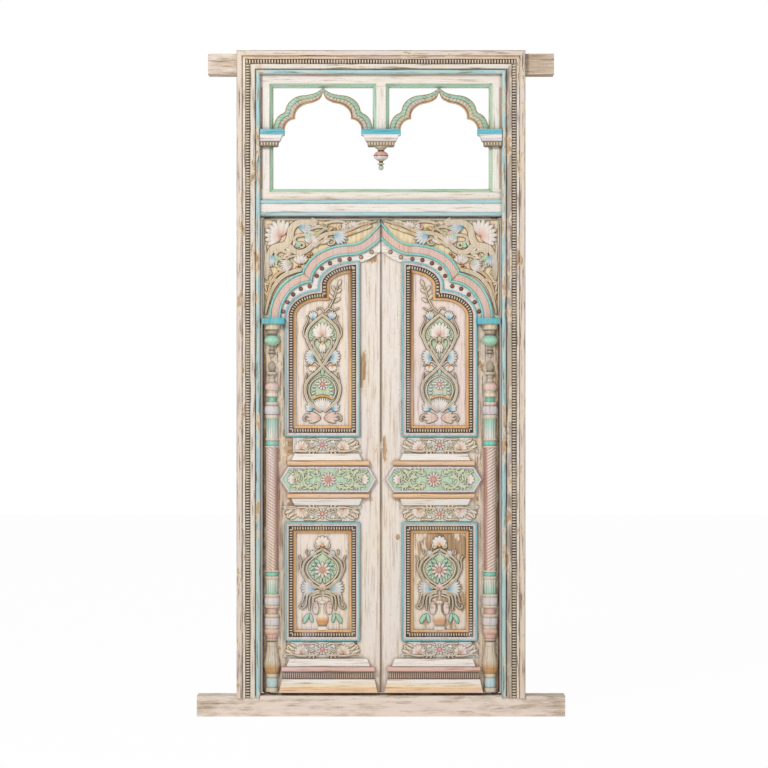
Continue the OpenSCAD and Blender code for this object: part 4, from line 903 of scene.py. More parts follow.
def arch_line(side, past=0):
    """Inner edge of the arch on a leaf: its lower lobe, its upper lobe with the rise to the point, and the
    sum of u and v on the slanting joint between them. The rise can run some steps past the leaf's edge."""
    u0, _, spring, _ = leaf_span(side, "arch_band")
    inner, edge = u0 + BAND, leaf_span(side, "meeting_stile")[1]
    first = arc(inner + 128, spring, 128, 144, 180, 90, 30)
    crown, level, rise, steps = inner + 281, spring + 253, 64, 12
    second = arc(crown, level - 103, 153, 103, 180, 90, 34)
    for k in range(1, steps + 1 + past):
        t = k / steps
        second.append(Vector((crown + (edge - crown) * t, level + rise * t ** 2)))
    return first, second, first[-1].x + first[-1].y + 3


def band_point(spot, left, d, sign, joint, end):
    """Point of the arch band at a distance from its inner edge. The lower (1) and the upper (-1) lobe meet on
    a slanting joint, and the band ends at the leaf's edge."""
    slope, tiny = left.x + left.y, 1e-6
    most = (joint - spot.x - spot.y) / slope if slope * sign > tiny else d
    least = max(0, (end - spot.x) / left.x) if left.x < -tiny else 0
    q = spot + left * max(least, min(d, most))
    return min(q.x, end), q.y


class DOOR_OT_arches(bpy.types.Operator):
    """Hatched arch band, studded band and studs"""
    bl_idname = "door.arches"
    bl_label = "Arches"

    def execute(self, context):
        p, sizes = palette(context), context.scene.door_sizes
        board = limewash("White limewash on studded bands", p, p.white, "X", 0.24)
        dull, pale = blend(p.pink, p.wood, 0.35), blend(p.pink, p.white, 0.6)
        edge = blend(p.turquoise, p.pale_blue, 0.3)
        # raised edge: distance from its outer side, height; between the edges lies the hatched field
        roll, field, cuts = ((0, 0), (0, 15), (2, 17.6), (5, 18.2), (7.6, 17), (8.6, 13.6)), 13.6, 14
        inner = roll[-1][0]
        outer = BAND - inner
        tiers = ((edge, [(BAND - d, h) for d, h in roll]),
                 (None, [(outer + (inner - outer) * k / cuts, field) for k in range(cuts + 1)]),
                 (edge, roll[::-1]))
        for side in SIDES:
            first, second, joint = arch_line(side)
            end = leaf_span(side, "arch_band")[1]
            carver = leaf_carver(side, p.dirt_and_shade)
            for line, sign in ((first, 1), (arch_line(side, PAST)[1], -1)):
                fine = evenly(line, 2.2)
                path = [q for q, _, _ in fine]
                lefts = left_of(path)
                for paint, section in tiers:
                    rows = []
                    for spot, left, (_, _, s) in zip(path, lefts, fine):
                        row = []
                        for d, h in section:
                            cut = 0 if paint else math.sin(2 * math.pi * (s + sign * d) / sizes.hatch)
                            # the foot of the raised edges and the sides of the hatched field are painted
                            # dark, and the hatch is darker in its cuts than on its ridges: soil and painted
                            # shade
                            crease_soil_and_shade = h == 0 if paint else min(outer - d, d - inner) < 1
                            shade = p.dirt_and_shade if crease_soil_and_shade else paint or blend(dull, pale, 0.5 + 0.5 * cut)
                            row.append((*band_point(spot, left, d, sign, joint, end), h + 0.9 * cut, shade))
                        rows.append(row)
                    carver.sheet(rows)
            leaf_piece(carver, side, "arch_band", "pink_paint", p)

            finish_nodes(board, side + "_studded_band")
            studs = leaf_carver(side, p.dirt_and_shade)
            spots = evenly(first + second, 1.0)
            total = spots[-1][2]
            count, start, span, radius, dome, board_high = 12, 0.052, 0.844, 7.2, 5.2, 6
            for k in range(count):
                share = start + span * k / (count - 1)
                q, left, _ = spots[round(share * (len(spots) - 1))]
                # at the foot of the arch the studs stand nearer its edge
                at = q - left * min(14.3, 8.5 + 0.1 * (share - start) * total)
                if at.x < end - 7.5:
                    studs.stand(at.x, at.y, board_high)
                    # studs near the meeting edge are rubbed pale
                    red = blend(p.red, p.stone, 0.5) if at.x > end - 84 else p.red
                    studs.knob(0, 0, radius, dome, red, 5, 18)
            leaf_piece(studs, side, "arch_studs", "red_paint", p)
        return {"FINISHED"}


class DOOR_OT_spandrels(bpy.types.Operator):
    """Scrollwork over the arch"""
    bl_idname = "door.spandrels"
    bl_label = "Spandrels"

    def execute(self, context):
        p, sizes = palette(context), context.scene.door_sizes
        tall, sand, pale = sizes.spandrel, blend(p.sand, p.white, 0.45), blend(p.white, p.lavender, 0.2)
        ground, cream = blend(p.sand, p.white, 0.15), blend(p.sand, p.white, 0.6)
        leafy, warm = blend(p.green, p.sand, 0.35), blend(p.sand, p.ochre, 0.25)
        pink, blue, green = blend(p.pink, p.white, 0.1), p.blue, blend(p.green, p.turquoise, 0.3)
        spray = blend(pale, blue, 0.16)
        for side in SIDES:
            first, second, joint = arch_line(side, PAST)
            u0, u1, v0, v1 = leaf_span(side, "spandrel")
            # the line of soil and painted shade round these scrolls is paler
            carver = leaf_carver(side, blend(p.dirt_and_shade, p.wood, 0.3))
            line = []
            for lobe, sign in ((first[::3], 1), (second[::3], -1)):
                # the ground reaches a little under the band
                outer = [q + n * (BAND - 3) for q, n in zip(lobe, left_of(lobe))]
                line += [q for q in outer if (joint - q.x - q.y) * sign > 8 and q.x < u1 and q.y < v1]
            outline = [(u0, v0)] + [(max(q.x, u0 + 1), max(q.y, v0)) for q in line] + [(u1, v1), (u0, v1)]
            carver.slab(outline, 0, 1.5, ground, ground)
            carver.stand(0, 0, 1)
            for a, b in (((u0 + 4, v0 + 8), (u0 + 4, v1 - 8)), ((u0, v1 - 4), (u1 - 8, v1 - 4))):
                carver.vine([a, b], 8, 8, tall * 0.6, sand)
            carver.stand(u0, v1, 1)
            # scrolls: points, widths, ridges, swell, paint, leaves
            for points, w0, w1, ridges, swell, paint, count in (
                    (((226, -13), (176, -15), (136, -22), (116, -44), (110, -78), (94, -106), (66, -112),
                      (40, -122), (26, -152), (20, -202), (16, -250)), 16, 12, 4, 1.3, sand, 2),
                    (((107, -104), (126, -130), (154, -136), (182, -124), (206, -100), (234, -74), (266, -60),
                      (308, -55), (345, -47), (390, -28), (440, -14), (462, -8)), 26, 8, 4, 0.1, sand, 0),
                    (((214, -58), (190, -66), (160, -66), (136, -72), (128, -86), (140, -98), (160, -98),
                      (168, -108), (158, -116), (148, -110)), 13, 9, 2, 0.2, sand, 2),
                    (((206, -62), (232, -54), (252, -38), (262, -18)), 11, 5, 2, 0.3, leafy, 0),
                    (((246, -20), (286, -12), (322, -13), (343, -24), (340, -38), (324, -43), (311, -36),
                      (316, -26)), 13, 7, 2, 0, sand, 0),
                    (((206, -116), (230, -96), (254, -84), (278, -80), (290, -90), (284, -102), (268, -104),
                      (262, -95)), 12, 7, 2, 0, sand, 0),
                    (((196, -84), (222, -66), (246, -46), (276, -36), (298, -40)), 10, 5, 2, 0.3, warm, 0),
                    (((176, -50), (204, -38), (236, -34), (262, -44), (272, -56)), 10, 5, 2, 0.3, cream, 0),
                    (((190, -20), (214, -28), (238, -28)), 10, 6, 2, 0.2, cream, 0),
                    (((296, -72), (330, -66), (366, -54), (402, -36), (436, -22)), 12, 6, 2, 0.5, warm, 0),
                    (((346, -36), (372, -22), (404, -14), (436, -10)), 11, 5, 2, 0.4, cream, 0),
                    (((10, -104), (13, -150), (10, -200), (12, -244)), 9, 7, 2, 0.2, cream, 0),
                    (((150, -226), (112, -240), (78, -268), (52, -306), (34, -348)), 11, 6, 2, 0.4, cream, 0),
                    (((92, -206), (62, -222), (40, -250), (26, -286), (14, -330)), 11, 6, 2, 0.4, warm, 0),
                    (((118, -142), (96, -136), (72, -128), (56, -138), (54, -154), (66, -164), (80, -156),
                      (76, -146)), 14, 9, 2, 0.2, sand, 3),
                    (((152, -152), (128, -150), (106, -156), (92, -170), (98, -184), (112, -180)), 10, 5, 2,
                     0.2, sand, 2),
                    (((162, -204), (120, -214), (76, -236), (42, -280), (24, -330), (11, -388)), 18, 8, 4,
                     0.4, sand, 0)):
                if count:
                    carver.leaves(points, count, 30 + 0.5 * w0, 11 + 0.2 * w0, 30, tall * 0.75, cream, warm)
                carver.vine(points, w0, w1, tall * 0.9, paint, ridges, swell)
            carver.volute(27, -216, 14, 1.3, 9, 1, 60, tall * 0.9, sand)
            carver.fan(79, -74, 48, 9, 80, 140, tall * 0.9, pale, pink, 0.1)
            # shells and leaf sprays: root, direction, petals, length, spread, tip, root paint
            for x, y, turn, count, length, spread, tip, root in (
                    (140, -26, -112, 6, 72, 44, spray, blue), (196, -104, -6, 7, 44, 110, pale, pink),
                    (364, -40, 0, 6, 34, 110, pale, pink), (284, -60, -118, 6, 68, 66, spray, blue),
                    (38, -140, 176, 5, 60, 46, spray, blue), (124, -180, 108, 7, 62, 64, pale, pink),
                    (156, -184, 4, 7, 46, 104, pale, p.lavender), (172, -84, -60, 4, 34, 76, green, leafy),
                    (150, -112, 40, 3, 24, 80, green, leafy), (64, -150, 150, 4, 26, 90, green, leafy),
                    (96, -168, -150, 4, 26, 80, green, leafy), (316, -30, -90, 3, 26, 60, pale, pink)):
                carver.fan(x, y, turn, count, length, spread, tall, tip, root)
            # single leaves: root, direction, length, width, tip, root paint
            for x, y, turn, length, wide, tip, root in (
                    (226, -104, -66, 54, 18, pale, p.ochre), (240, -92, -46, 36, 13, sand, p.ochre),
                    (262, -52, -50, 32, 12, warm, p.ochre), (240, -22, -82, 34, 11, sand, warm),
                    (350, -58, -74, 66, 15, cream, warm), (396, -46, -68, 52, 13, cream, warm),
                    (384, -14, -84, 46, 11, cream, warm), (60, -240, 118, 36, 13, sand, warm),
                    (30, -268, 70, 28, 11, sand, warm), (96, -208, 82, 42, 14, sand, p.ochre),
                    (24, -318, 30, 34, 9, sand, warm), (18, -300, 12, 40, 9, sand, warm),
                    (74, -198, 70, 32, 12, leafy, sand)):
                carver.petal(x, y, turn, length, wide, tall * 0.9, tip, root, 0.2)
            for k in range(7):
                carver.knob(139 + 9.6 * k, -197 + 9.3 * k, 5.6, tall * 0.95, blend(p.ochre, p.red, 0.15))
            leaf_piece(carver, side, "spandrel", "carving_paint", p)
        return {"FINISHED"}


def panel_lines(side):
    """Openings of the upper and the lower panel on a leaf, counter-clockwise."""
    lip = 10
    trim = (lip, -lip, lip, -lip)
    u0, u1, v0, v1 = (a + b for a, b in zip(leaf_span(side, "lower_moulding"), trim))
    low = [Vector(q) for q in ((u0, v0), (u1, v0), (u1, v1), (u0, v1))]
    u0, u1, v0, v1 = (a + b for a, b in zip(leaf_span(side, "upper_moulding"), trim))
    cusp = u0 + 134
    high = [Vector((u0, v0)), Vector((u1, v0))] + arc(u1, v1 - 86, u1 - cusp, 86, 90, 180, 24)
    high += arc(cusp, v1 - 212, 134, 98, 90, 180, 24)
    return high, low


class DOOR_OT_panel_mouldings(bpy.types.Operator):
    """Painted mouldings round the panels, with their rows of small beads"""
    bl_idname = "door.panel_mouldings"
    bl_label = "Panel mouldings"

    def execute(self, context):
        p, sizes = palette(context), context.scene.door_sizes
        rim = blend(blend(p.blue, p.turquoise, 0.35), p.pale_blue, 0.4)
        # the dark bands at the foot of the rim, under the beads and at the foot of the fillet are soil and
        # painted shade
        bands = (
            (p.dirt_and_shade, ((-10, 0), (-10, 3))),
            (rim, ((-10, 3), (-10, 9), (-8.8, 12), (-6.8, 13), (-4.6, 12.2), (-3.6, 10))),
            (blend(p.lavender, p.stone, 0.3), ((-3.6, 10), (-2.4, 8), (3, 6), (5, 5))),
            (p.dirt_and_shade, ((5, 5), (5, 1.6), (23, 1.6), (24, -4))),
            (blend(p.ochre, p.white, 0.12), ((24, -4), (25, -7.5), (26.5, -8.6), (32, -8.8), (33.4, -10.4))),
            (p.dirt_and_shade, ((33.4, -10.4), (34, -16.2))))
        bead, wide, seat, crown, fill = blend(p.stone, p.white, 0.3), 13, 1.4, 6.4, 0.58
        for side in SIDES:
            high, low = panel_lines(side)
            for name, line in (("upper", high), ("lower", low)):
                carver = leaf_carver(side, p.dirt_and_shade)
                carver.strips(line, [(c, s[::-1]) for c, s in bands], True)
                leaf_piece(carver, side, name + "_moulding", "blue_paint", p)
            rows = leaf_carver(side, p.dirt_and_shade)
            for line in (high, low):
                inner = [q + n * 14.5 for q, n in zip(line, left_of(line, True))]
                # points where a straight side or one of the two arcs starts, and the end of the first arc
                corners = [0, 1, 2, 26, 27] if line is high else [0, 1, 2, 3]
                for a, b in zip(corners, corners[1:] + [len(inner)]):
                    run = inner[a:b + 1] if b < len(inner) else inner[a:] + inner[:1]
                    if (run[0] - run[-1]).length > 20:
                        rows.beads(run, sizes.row_pitch, wide, seat, crown, bead, fill, 1.0)
            leaf_piece(rows, side, "panel_beads", "bead_paint", p)
        return {"FINISHED"}


def panel_origin(side, moulding):
    """Where a panel's carving stands: across on the panel's middle, up over the moulding, out on its face."""
    u0, u1, v0, _ = leaf_span(side, moulding)
    return (u0 + u1) / 2, v0 + CARVING_FOOT, PANEL_FACE


def panel_paints(p):
    """Paints of vines, of the ground in the loops and of blue sprays on the panels."""
    vine = blend(blend(p.stone, p.white, 0.55), p.sand, 0.3)
    return vine, blend(p.green, p.stone, 0.35), blend(p.white, p.blue, 0.16)


class DOOR_OT_upper_carvings(bpy.types.Operator):
    """Crossing vines with palmettes and flowers on the upper panels"""
    bl_idname = "door.upper_carvings"
    bl_label = "Upper carvings"

    def execute(self, context):
        p, sizes = palette(context), context.scene.door_sizes
        tall, pale, blue = sizes.carving, p.white, p.blue
        stone, field, spray = panel_paints(p)
        blush, leafy = blend(p.pink, p.white, 0.6), blend(p.green, p.turquoise, 0.2)
        tulip, stem = (blend(blush, p.stone, 0.3), blend(p.pink, p.stone, 0.3)), blend(stone, p.dirt_and_shade, 0.35)
        for side in SIDES:
            carver, origin = leaf_carver(side, p.dirt_and_shade), panel_origin(side, "upper_moulding")
            loop = smooth([(0, 60), (40, 86), (60, 110), (67, 143), (62, 170), (46, 194), (24, 213),
                           (0, 236)])
            crown = smooth([(0, 244), (14, 262), (30, 288), (48, 316), (60, 348), (62, 368), (55, 390),
                            (40, 410), (0, 440)])
            carver.stand(*origin)
            for line in (loop, crown):
                carver.slab(both_halves(line), -0.4, 0.7, field, field)
            # stems on both halves: points, widths, height
            for way in (1, -1):
                carver.stand(*origin, way)
                for points, w0, w1, high in (
                        (((55, 48), (72, 38), (75, 25), (66, 18)), 9, 5, 0.8),
                        (((4, 56), (40, 84), (60, 105), (70, 143), (66, 170), (48, 196), (24, 216), (0, 240),
                          (-14, 262), (-30, 288), (-48, 316), (-62, 348), (-65, 368), (-58, 390), (-42, 412),
                          (-18, 432), (4, 450)), 14, 13, 1),
                        (((70, 150), (67, 190), (60, 216)), 7, 3, 0.9),
                        (((40, 104), (54, 136), (47, 170), (26, 190), (2, 200)), 8, 6, 0.85),
                        (((11, 243), (29, 258), (46, 254), (68, 240)), 7, 4, 0.9),
                        (((4, 266), (14, 284), (26, 304), (36, 322), (38, 336), (34, 348), (23, 354),
                          (12, 347), (14, 336)), 11, 7, 1.1),
                        (((62, 345), (75, 366), (73, 392), (61, 416), (57, 434), (65, 443)), 7, 4, 0.9)):
                    carver.vine(points, w0, w1, tall * high, stone)
                # petals: root, direction, count, length, spread, tip, root paint
                for x, y, turn, count, length, spread, tip, root in (
                        (4, 30, -86, 4, 66, 46, *tulip), (36, 64, -52, 4, 40, 72, spray, blue),
                        (30, 277, -88, 8, 46, 124, spray, blue), (40, 242, 180, 5, 28, 104, pale, p.ochre),
                        (36, 424, -6, 5, 42, 62, spray, blue)):
                    carver.fan(x, y, turn, count, length, spread, tall * 0.78, tip, root)
                # small lobes that fill both medallions
                for x, y, turn, length in ((44, 112, 62, 20), (48, 128, 76, 22), (48, 144, 88, 22),
                                           (45, 160, 100, 21), (36, 175, 118, 20), (50, 372, 118, 24),
                                           (46, 390, 132, 22), (56, 352, 104, 18), (36, 300, 24, 22),
                                           (46, 322, 10, 20), (20, 276, 40, 20), (30, 406, 146, 20)):
                    carver.petal(x, y, turn, length, 9.5, tall * 0.7, blend(pale, leafy, 0.3), leafy, 0.1)
            carver.stand(*origin)
            carver.fan(0, 56, 0, 9, 62, 82, tall * 0.75, pale, p.lavender, 0.05)
            turns = [math.radians(-40 + 10 * k) for k in range(9)]
            carver.vine([(64 * math.sin(a), 56 + 64 * math.cos(a)) for a in turns], 9, 9, tall * 0.95,
                        p.ochre, 1)
            carver.flower(0, 166, 9, 24, tall * 0.85, pale, p.pink, p.pink)
            carver.petal(0, 198, 0, 34, 15, tall * 0.75, leafy, leafy, 0.15)
            carver.fan(0, 360, 0, 11, 62, 166, tall * 0.85, pale, p.pink, 0.4)
            carver.fan(0, 338, 180, 5, 52, 50, tall * 0.75, pale, pale, 0.3)
            carver.knob(0, 331, 8, tall * 0.9, p.ochre)
            # a twig that leans to the meeting edge ends the carving
            for points in (((7, 455), (-4, 472), (-18, 473), (-22, 464)),
                           ((9, 456), (24, 472), (46, 465), (68, 476)),
                           ((24, 470), (41, 502), (51, 529), (66, 574))):
                carver.vine(points, 7, 4, tall * 0.85, stone)
            for x, y, turn, length, wide in ((46, 504, 38, 36, 15), (44, 494, -52, 36, 14),
                                             (54, 536, 30, 34, 13), (53, 532, -50, 32, 13),
                                             (62, 558, -22, 34, 15)):
                carver.petal(x, y, turn, length, wide, tall * 0.7, stone, stem, 0.2)
            leaf_piece(carver, side, "upper_carving", "carving_paint", p)
        return {"FINISHED"}


class DOOR_OT_lower_carvings(bpy.types.Operator):
    """Flowering vase with a medallion on the lower panels"""
    bl_idname = "door.lower_carvings"
    bl_label = "Lower carvings"

    def execute(self, context):
        p, sizes = palette(context), context.scene.door_sizes
        tall, pale = sizes.carving, p.white
        stone, field, spray = panel_paints(p)
        leafy, blush = blend(p.green, p.turquoise, 0.3), blend(p.pink, p.white, 0.5)
        # turned outline of the vase: height, half width
        vase = ((-2, 22), (6, 22), (10, 19), (13, 17), (18, 17), (22, 20), (32, 24), (42, 25), (52, 23),
                (62, 15), (74, 8), (88, 6), (99, 6), (103, 11), (107, 14), (111, 12), (116, 7))
        for side in SIDES:
            carver, origin = leaf_carver(side, p.dirt_and_shade), panel_origin(side, "lower_moulding")
            carver.stand(*origin)
            onion = [(0, 158), (53, 193), (77, 231), (75, 265), (50, 293), (0, 325)]
            carver.slab(both_halves(smooth(onion)), -0.4, 0.7, field, field)
            # stems on both halves: points, widths, height, paint
            for way in (1, -1):
                carver.stand(*origin, way)
                for points, w0, w1, high, paint in (
                        (onion, 10, 10, 1, stone),
                        (((6, 175), (42, 200), (62, 232), (60, 262), (40, 285), (4, 309)), 8, 7, 0.85, stone),
                        (((24, 162), (67, 203), (88, 246), (86, 276), (91, 292), (98, 294)), 11, 6, 0.9,
                         stone),
                        (((8, 156), (35, 152), (57, 144), (64, 124), (67, 102), (80, 85), (92, 92),
                          (86, 100)), 11, 6, 0.95, stone),
                        (((8, 148), (32, 144), (49, 133), (54, 102), (50, 74)), 10, 6, 0.9, stone),
                        (((10, 150), (24, 146), (38, 132), (40, 106), (34, 88), (24, 92)), 9, 5, 0.88, stone),
                        (((40, 150), (62, 150), (76, 132), (80, 112), (90, 106)), 8, 5, 0.85, stone),
                        (((4, 138), (18, 136), (34, 128), (38, 112), (28, 104), (20, 112)), 8, 5, 0.85,
                         stone),
                        (((60, 300), (66, 314), (58, 322)), 6, 4, 0.8, stone),
                        (((20, 296), (30, 280), (24, 268), (14, 270)), 5, 4, 0.7, leafy),
                        (((44, 262), (34, 258), (31, 248)), 6, 4, 0.7, leafy),
                        (((42, 230), (32, 224), (28, 214), (16, 208)), 6, 4, 0.7, leafy)):
                    carver.vine(points, w0, w1, tall * high, paint)
                carver.leaves([(10, 184), (42, 208), (55, 238), (48, 268), (16, 297)], 6, 28, 12, 66,
                              tall * 0.7, leafy, stone, (1,))
                carver.volute(19, 336, 11, 1.2, 8, -1, 90, tall * 0.85, stone)
                carver.fan(26, 164, -82, 8, 66, 86, tall * 0.78, spray, p.blue)
                carver.fan(50, 290, 40, 4, 38, 50, tall * 0.7, spray, p.blue)
                for x, y, turn, length in ((52, 66, -150, 52), (50, 68, 168, 44), (60, 62, -152, 40)):
                    carver.petal(x, y, turn, length, 14, tall * 0.7, leafy, leafy, 0.15)
                carver.petal(26, 116, -178, 60, 26, tall * 0.6, blend(blush, pale, 0.4),
                             blend(blush, p.pink, 0.3), 0.2)
            carver.stand(*origin)
            carver.fan(0, 342, 0, 7, 38, 176, tall * 0.75, pale, blush)
            carver.knob(0, 338, 7.5, tall * 0.9, p.ochre)
            carver.flower(0, 239, 10, 36, tall * 0.85, blend(blush, pale, 0.6), blush,
                          blend(p.pink, p.wood, 0.4))
            carver.fan(0, 162, 0, 3, 28, 64, tall * 0.7, blush, p.pink)
            rows, last = [], 12
            turns = [math.radians(-90 + 180 * k / last) for k in range(last + 1)]
            for y, w in vase:
                out = tall * 0.95 * min(1, 0.45 + w / 40)
                # warm paint on the belly; soil and painted shade in the grooves and along both sides
                warm = max(0.0, 1 - abs(y - 32) / 22)
                low = blend(p.ochre, p.red, 0.34 if y < 34 else 0.1)
                tone = blend(blend(stone, pale, 0.5), low, min(1, 1.5 * warm))
                share_clear_of_soil_and_shade = 0.35 if y in (13, 18, 103) else 1
                rows.append([(w * math.sin(a), y, out * math.cos(a),
                              blend(p.dirt_and_shade, tone, 0.3 if k in (0, last) else share_clear_of_soil_and_shade))
                             for k, a in enumerate(turns)])
            carver.sheet(rows)
            leaf_piece(carver, side, "lower_carving", "carving_paint", p)
        return {"FINISHED"}


class DOOR_OT_friezes(bpy.types.Operator):
    """Carved strips over, between and under the panels"""
    bl_idname = "door.friezes"
    bl_label = "Friezes"

    def execute(self, context):
        p, sizes = palette(context), context.scene.door_sizes
        tall, sand = sizes.frieze, blend(p.sand, p.white, 0.6)
        base = blend(blend(p.pale_blue, p.stone, 0.5), p.white, 0.5)
        warm, blush = blend(sand, p.ochre, 0.12), blend(p.pink, p.white, 0.55)
        high, thick, broken = 60, 4, -118
        edge = smooth([(160, 0), (153, 8), (143, 20), (138, 34), (134, 48), (126, high)], 3)
        for side in SIDES:
            u0, u1, _, v1 = leaf_span(side, "lower_moulding")
            mid = (u0 + u1) / 2
            foot, lift = leaf_span(side, "friezes")[2:]
            # the line of soil and painted shade round the forms in these flat strips is paler
            carver = leaf_carver(side, blend(p.dirt_and_shade, p.wood, 0.6))
            for v, flip in ((lift - high, 1), (v1 + 4 + high, -1), (foot, 1)):
                # the heel end of the left leaf's upper strip is lost
                lost = side == "left" and v == lift - high
                line = edge + [Vector((-q.x, q.y)) for q in reversed(edge)]
                carver.stand(mid, v, 0, 1, flip)
                if lost:
                    line = [Vector((max(q.x, broken), q.y)) for q in line]
                # the edges of the ground board are painted dark: painted shade with soil
                carver.slab(line, 0, thick, base, p.dirt_and_shade)
                carver.stand(mid, v, thick, 1, flip)
                carver.flower(0, 30, 9, 24, tall * 0.9, blend(p.lavender, p.white, 0.5), p.pink, p.pink)
                for way in (1, -1):
                    carver.stand(mid, v, thick, way, flip)
                    for points, w0, w1 in (
                            (((14, 16), (30, 7), (52, 6), (70, 14), (78, 28), (70, 40), (58, 36), (58, 26)),
                             9, 5),
                            (((16, 46), (34, 54), (56, 52), (78, 55)), 8, 5),
                            (((30, 30), (42, 22), (52, 24)), 6, 4)):
                        carver.vine(points, w0, w1, tall * 0.9, sand)
                    carver.leaves([(20, 12), (40, 5), (64, 10), (78, 26)], 5, 15, 7, 50, tall * 0.7,
                                  sand, warm)
                    carver.fan(82, 14, -14, 7, 38, 140, tall * 0.75, blend(blush, p.white, 0.6), p.pink)
                    carver.fan(40, 36, -20, 3, 16, 80, tall * 0.6, p.white, p.pale_blue)
                    if not (lost and way < 0):
                        carver.vine([(60, 5), (98, 5), (126, 11), (147, 7)], 10, 6, tall * 0.9, sand)
                        for x, y, turn, length, w in ((116, 13, -66, 40, 12), (108, 24, -58, 36, 11),
                                                      (100, 38, -64, 36, 10)):
                            carver.petal(x, y, turn, length, w, tall * 0.8, sand, warm, 0.2)
                        carver.volute(134, 40, 9, 1.0, 7, 1, -90, tall * 0.8, sand)
                    else:
                        carver.vine([(60, 5), (90, 5), (112, 7)], 10, 9, tall * 0.9, sand)
            leaf_piece(carver, side, "friezes", "carving_paint", p)
        return {"FINISHED"}


class DOOR_OT_centre_plates(bpy.types.Operator):
    """Six-sided plates with a flower and leaf scrolls"""
    bl_idname = "door.centre_plates"
    bl_label = "Centre plates"

    def execute(self, context):
        p = palette(context)
        thick, pale = 14, p.white
        leafy, sand = blend(p.green, p.sand, 0.3), blend(blend(p.sand, p.green, 0.55), p.white, 0.2)
        mint = blend(blend(p.green, p.turquoise, 0.15), p.stone, 0.25)
        for side in SIDES:
            u0, u1, v0, v1 = leaf_span(side, "centre_plate")
            middle = (u0 + u1) / 2, (v0 + v1) / 2
            carver = leaf_carver(side, p.dirt_and_shade)
            carver.stand(*middle, 0)
            w, h = (u1 - u0) / 2, (v1 - v0) / 2
            n = h * 0.62
            line = [Vector(q) for q in ((w, 0), (w - n, h), (n - w, h), (-w, 0), (n - w, -h), (w - n, -h))]
            # the sides of the plate and the inner wall of the rim are painted dark: painted shade with soil
            carver.slab([q * 0.99 for q in line], 0, thick, mint, p.dirt_and_shade)
            carver.strips(line, [(blend(p.dirt_and_shade, p.lavender, 0.5), ((8.6, 13.9), (8, 16.6))),
                                 (p.lavender, ((8, 16.6), (6, 18), (2, 18), (0, 16.2), (0, 0)))], True)
            carver.stand(*middle, thick)
            carver.flower(0, 0, 12, 33, 6.6, blend(pale, p.pink, 0.25), p.pink, blend(p.pink, p.wood, 0.5))
            for way in (1, -1):
                carver.stand(*middle, thick, way)
                for points, count in ((((34, -12), (58, -34), (84, -32), (102, -10), (92, 8), (76, 2)), 9),
                                      (((34, 12), (56, 35), (86, 37), (112, 22), (136, 2)), 8),
                                      (((104, -12), (120, -28), (140, -22)), 4),
                                      (((120, 16), (138, 26), (150, 18)), 3)):
                    carver.leaves(points, count, 24, 7, 34, 5.4, sand, leafy)
                    carver.vine(points, 8, 5, 6.4, sand)
                for x, y, turn, length, wide in (
                        (60, 8, -80, 36, 15), (96, 22, -56, 36, 14), (98, -16, -118, 38, 14),
                        (42, 18, -14, 24, 11), (42, -18, -166, 24, 11), (62, -20, -100, 24, 10),
                        (70, 30, -128, 22, 10), (112, 14, -150, 22, 9)):
                    carver.petal(x, y, turn, length, wide, 5.6, sand, leafy, 0.2)
                carver.fan(132, 0, -90, 4, 36, 74, 6, pale, p.pink)
            leaf_piece(carver, side, "centre_plate", "green_paint", p)
        return {"FINISHED"}


class DOOR_OT_foot_and_cornices(bpy.types.Operator):
    """Finish the round bars beside the plates and the stepped foot"""
    bl_idname = "door.foot_and_cornices"
    bl_label = "Foot and cornices"

    def execute(self, context):
        p = palette(context)
        bar = blend(p.ochre, p.white, 0.3)
        # thin dark lines at the edges of the bars are soil and painted shade
        stops = [(0, p.white), (0.1275, p.dirt_and_shade), (0.1365, bar), (0.8635, p.dirt_and_shade), (0.8725, p.white)]
        bars = limewash("Ochre oil paint on round bars", p, bar, "X", 0.26, strips_up("left_cornices", stops))
        warm, strip = blend(p.ochre, p.white, 0.35), blend(p.wood, p.lavender, 0.25)
        # thin dark lines at the steps of the foot are soil and painted shade
        stops = [(0, warm), (0.15, blend(p.sand, p.white, 0.3)), (0.27, p.white), (0.39, p.dirt_and_shade),
                 (0.405, strip), (0.615, p.dirt_and_shade), (0.63, blend(p.pink, p.white, 0.2)), (0.765, p.dirt_and_shade),
                 (0.78, p.white)]
        foot = limewash("Limewash on stepped foot", p, p.white, "X", 0.38, strips_up("left_plinth", stops),
                        cracks=0.15)
        for side in SIDES:
            finish_nodes(bars, side + "_cornices")
            finish_nodes(foot, side + "_plinth")
        return {"FINISHED"}


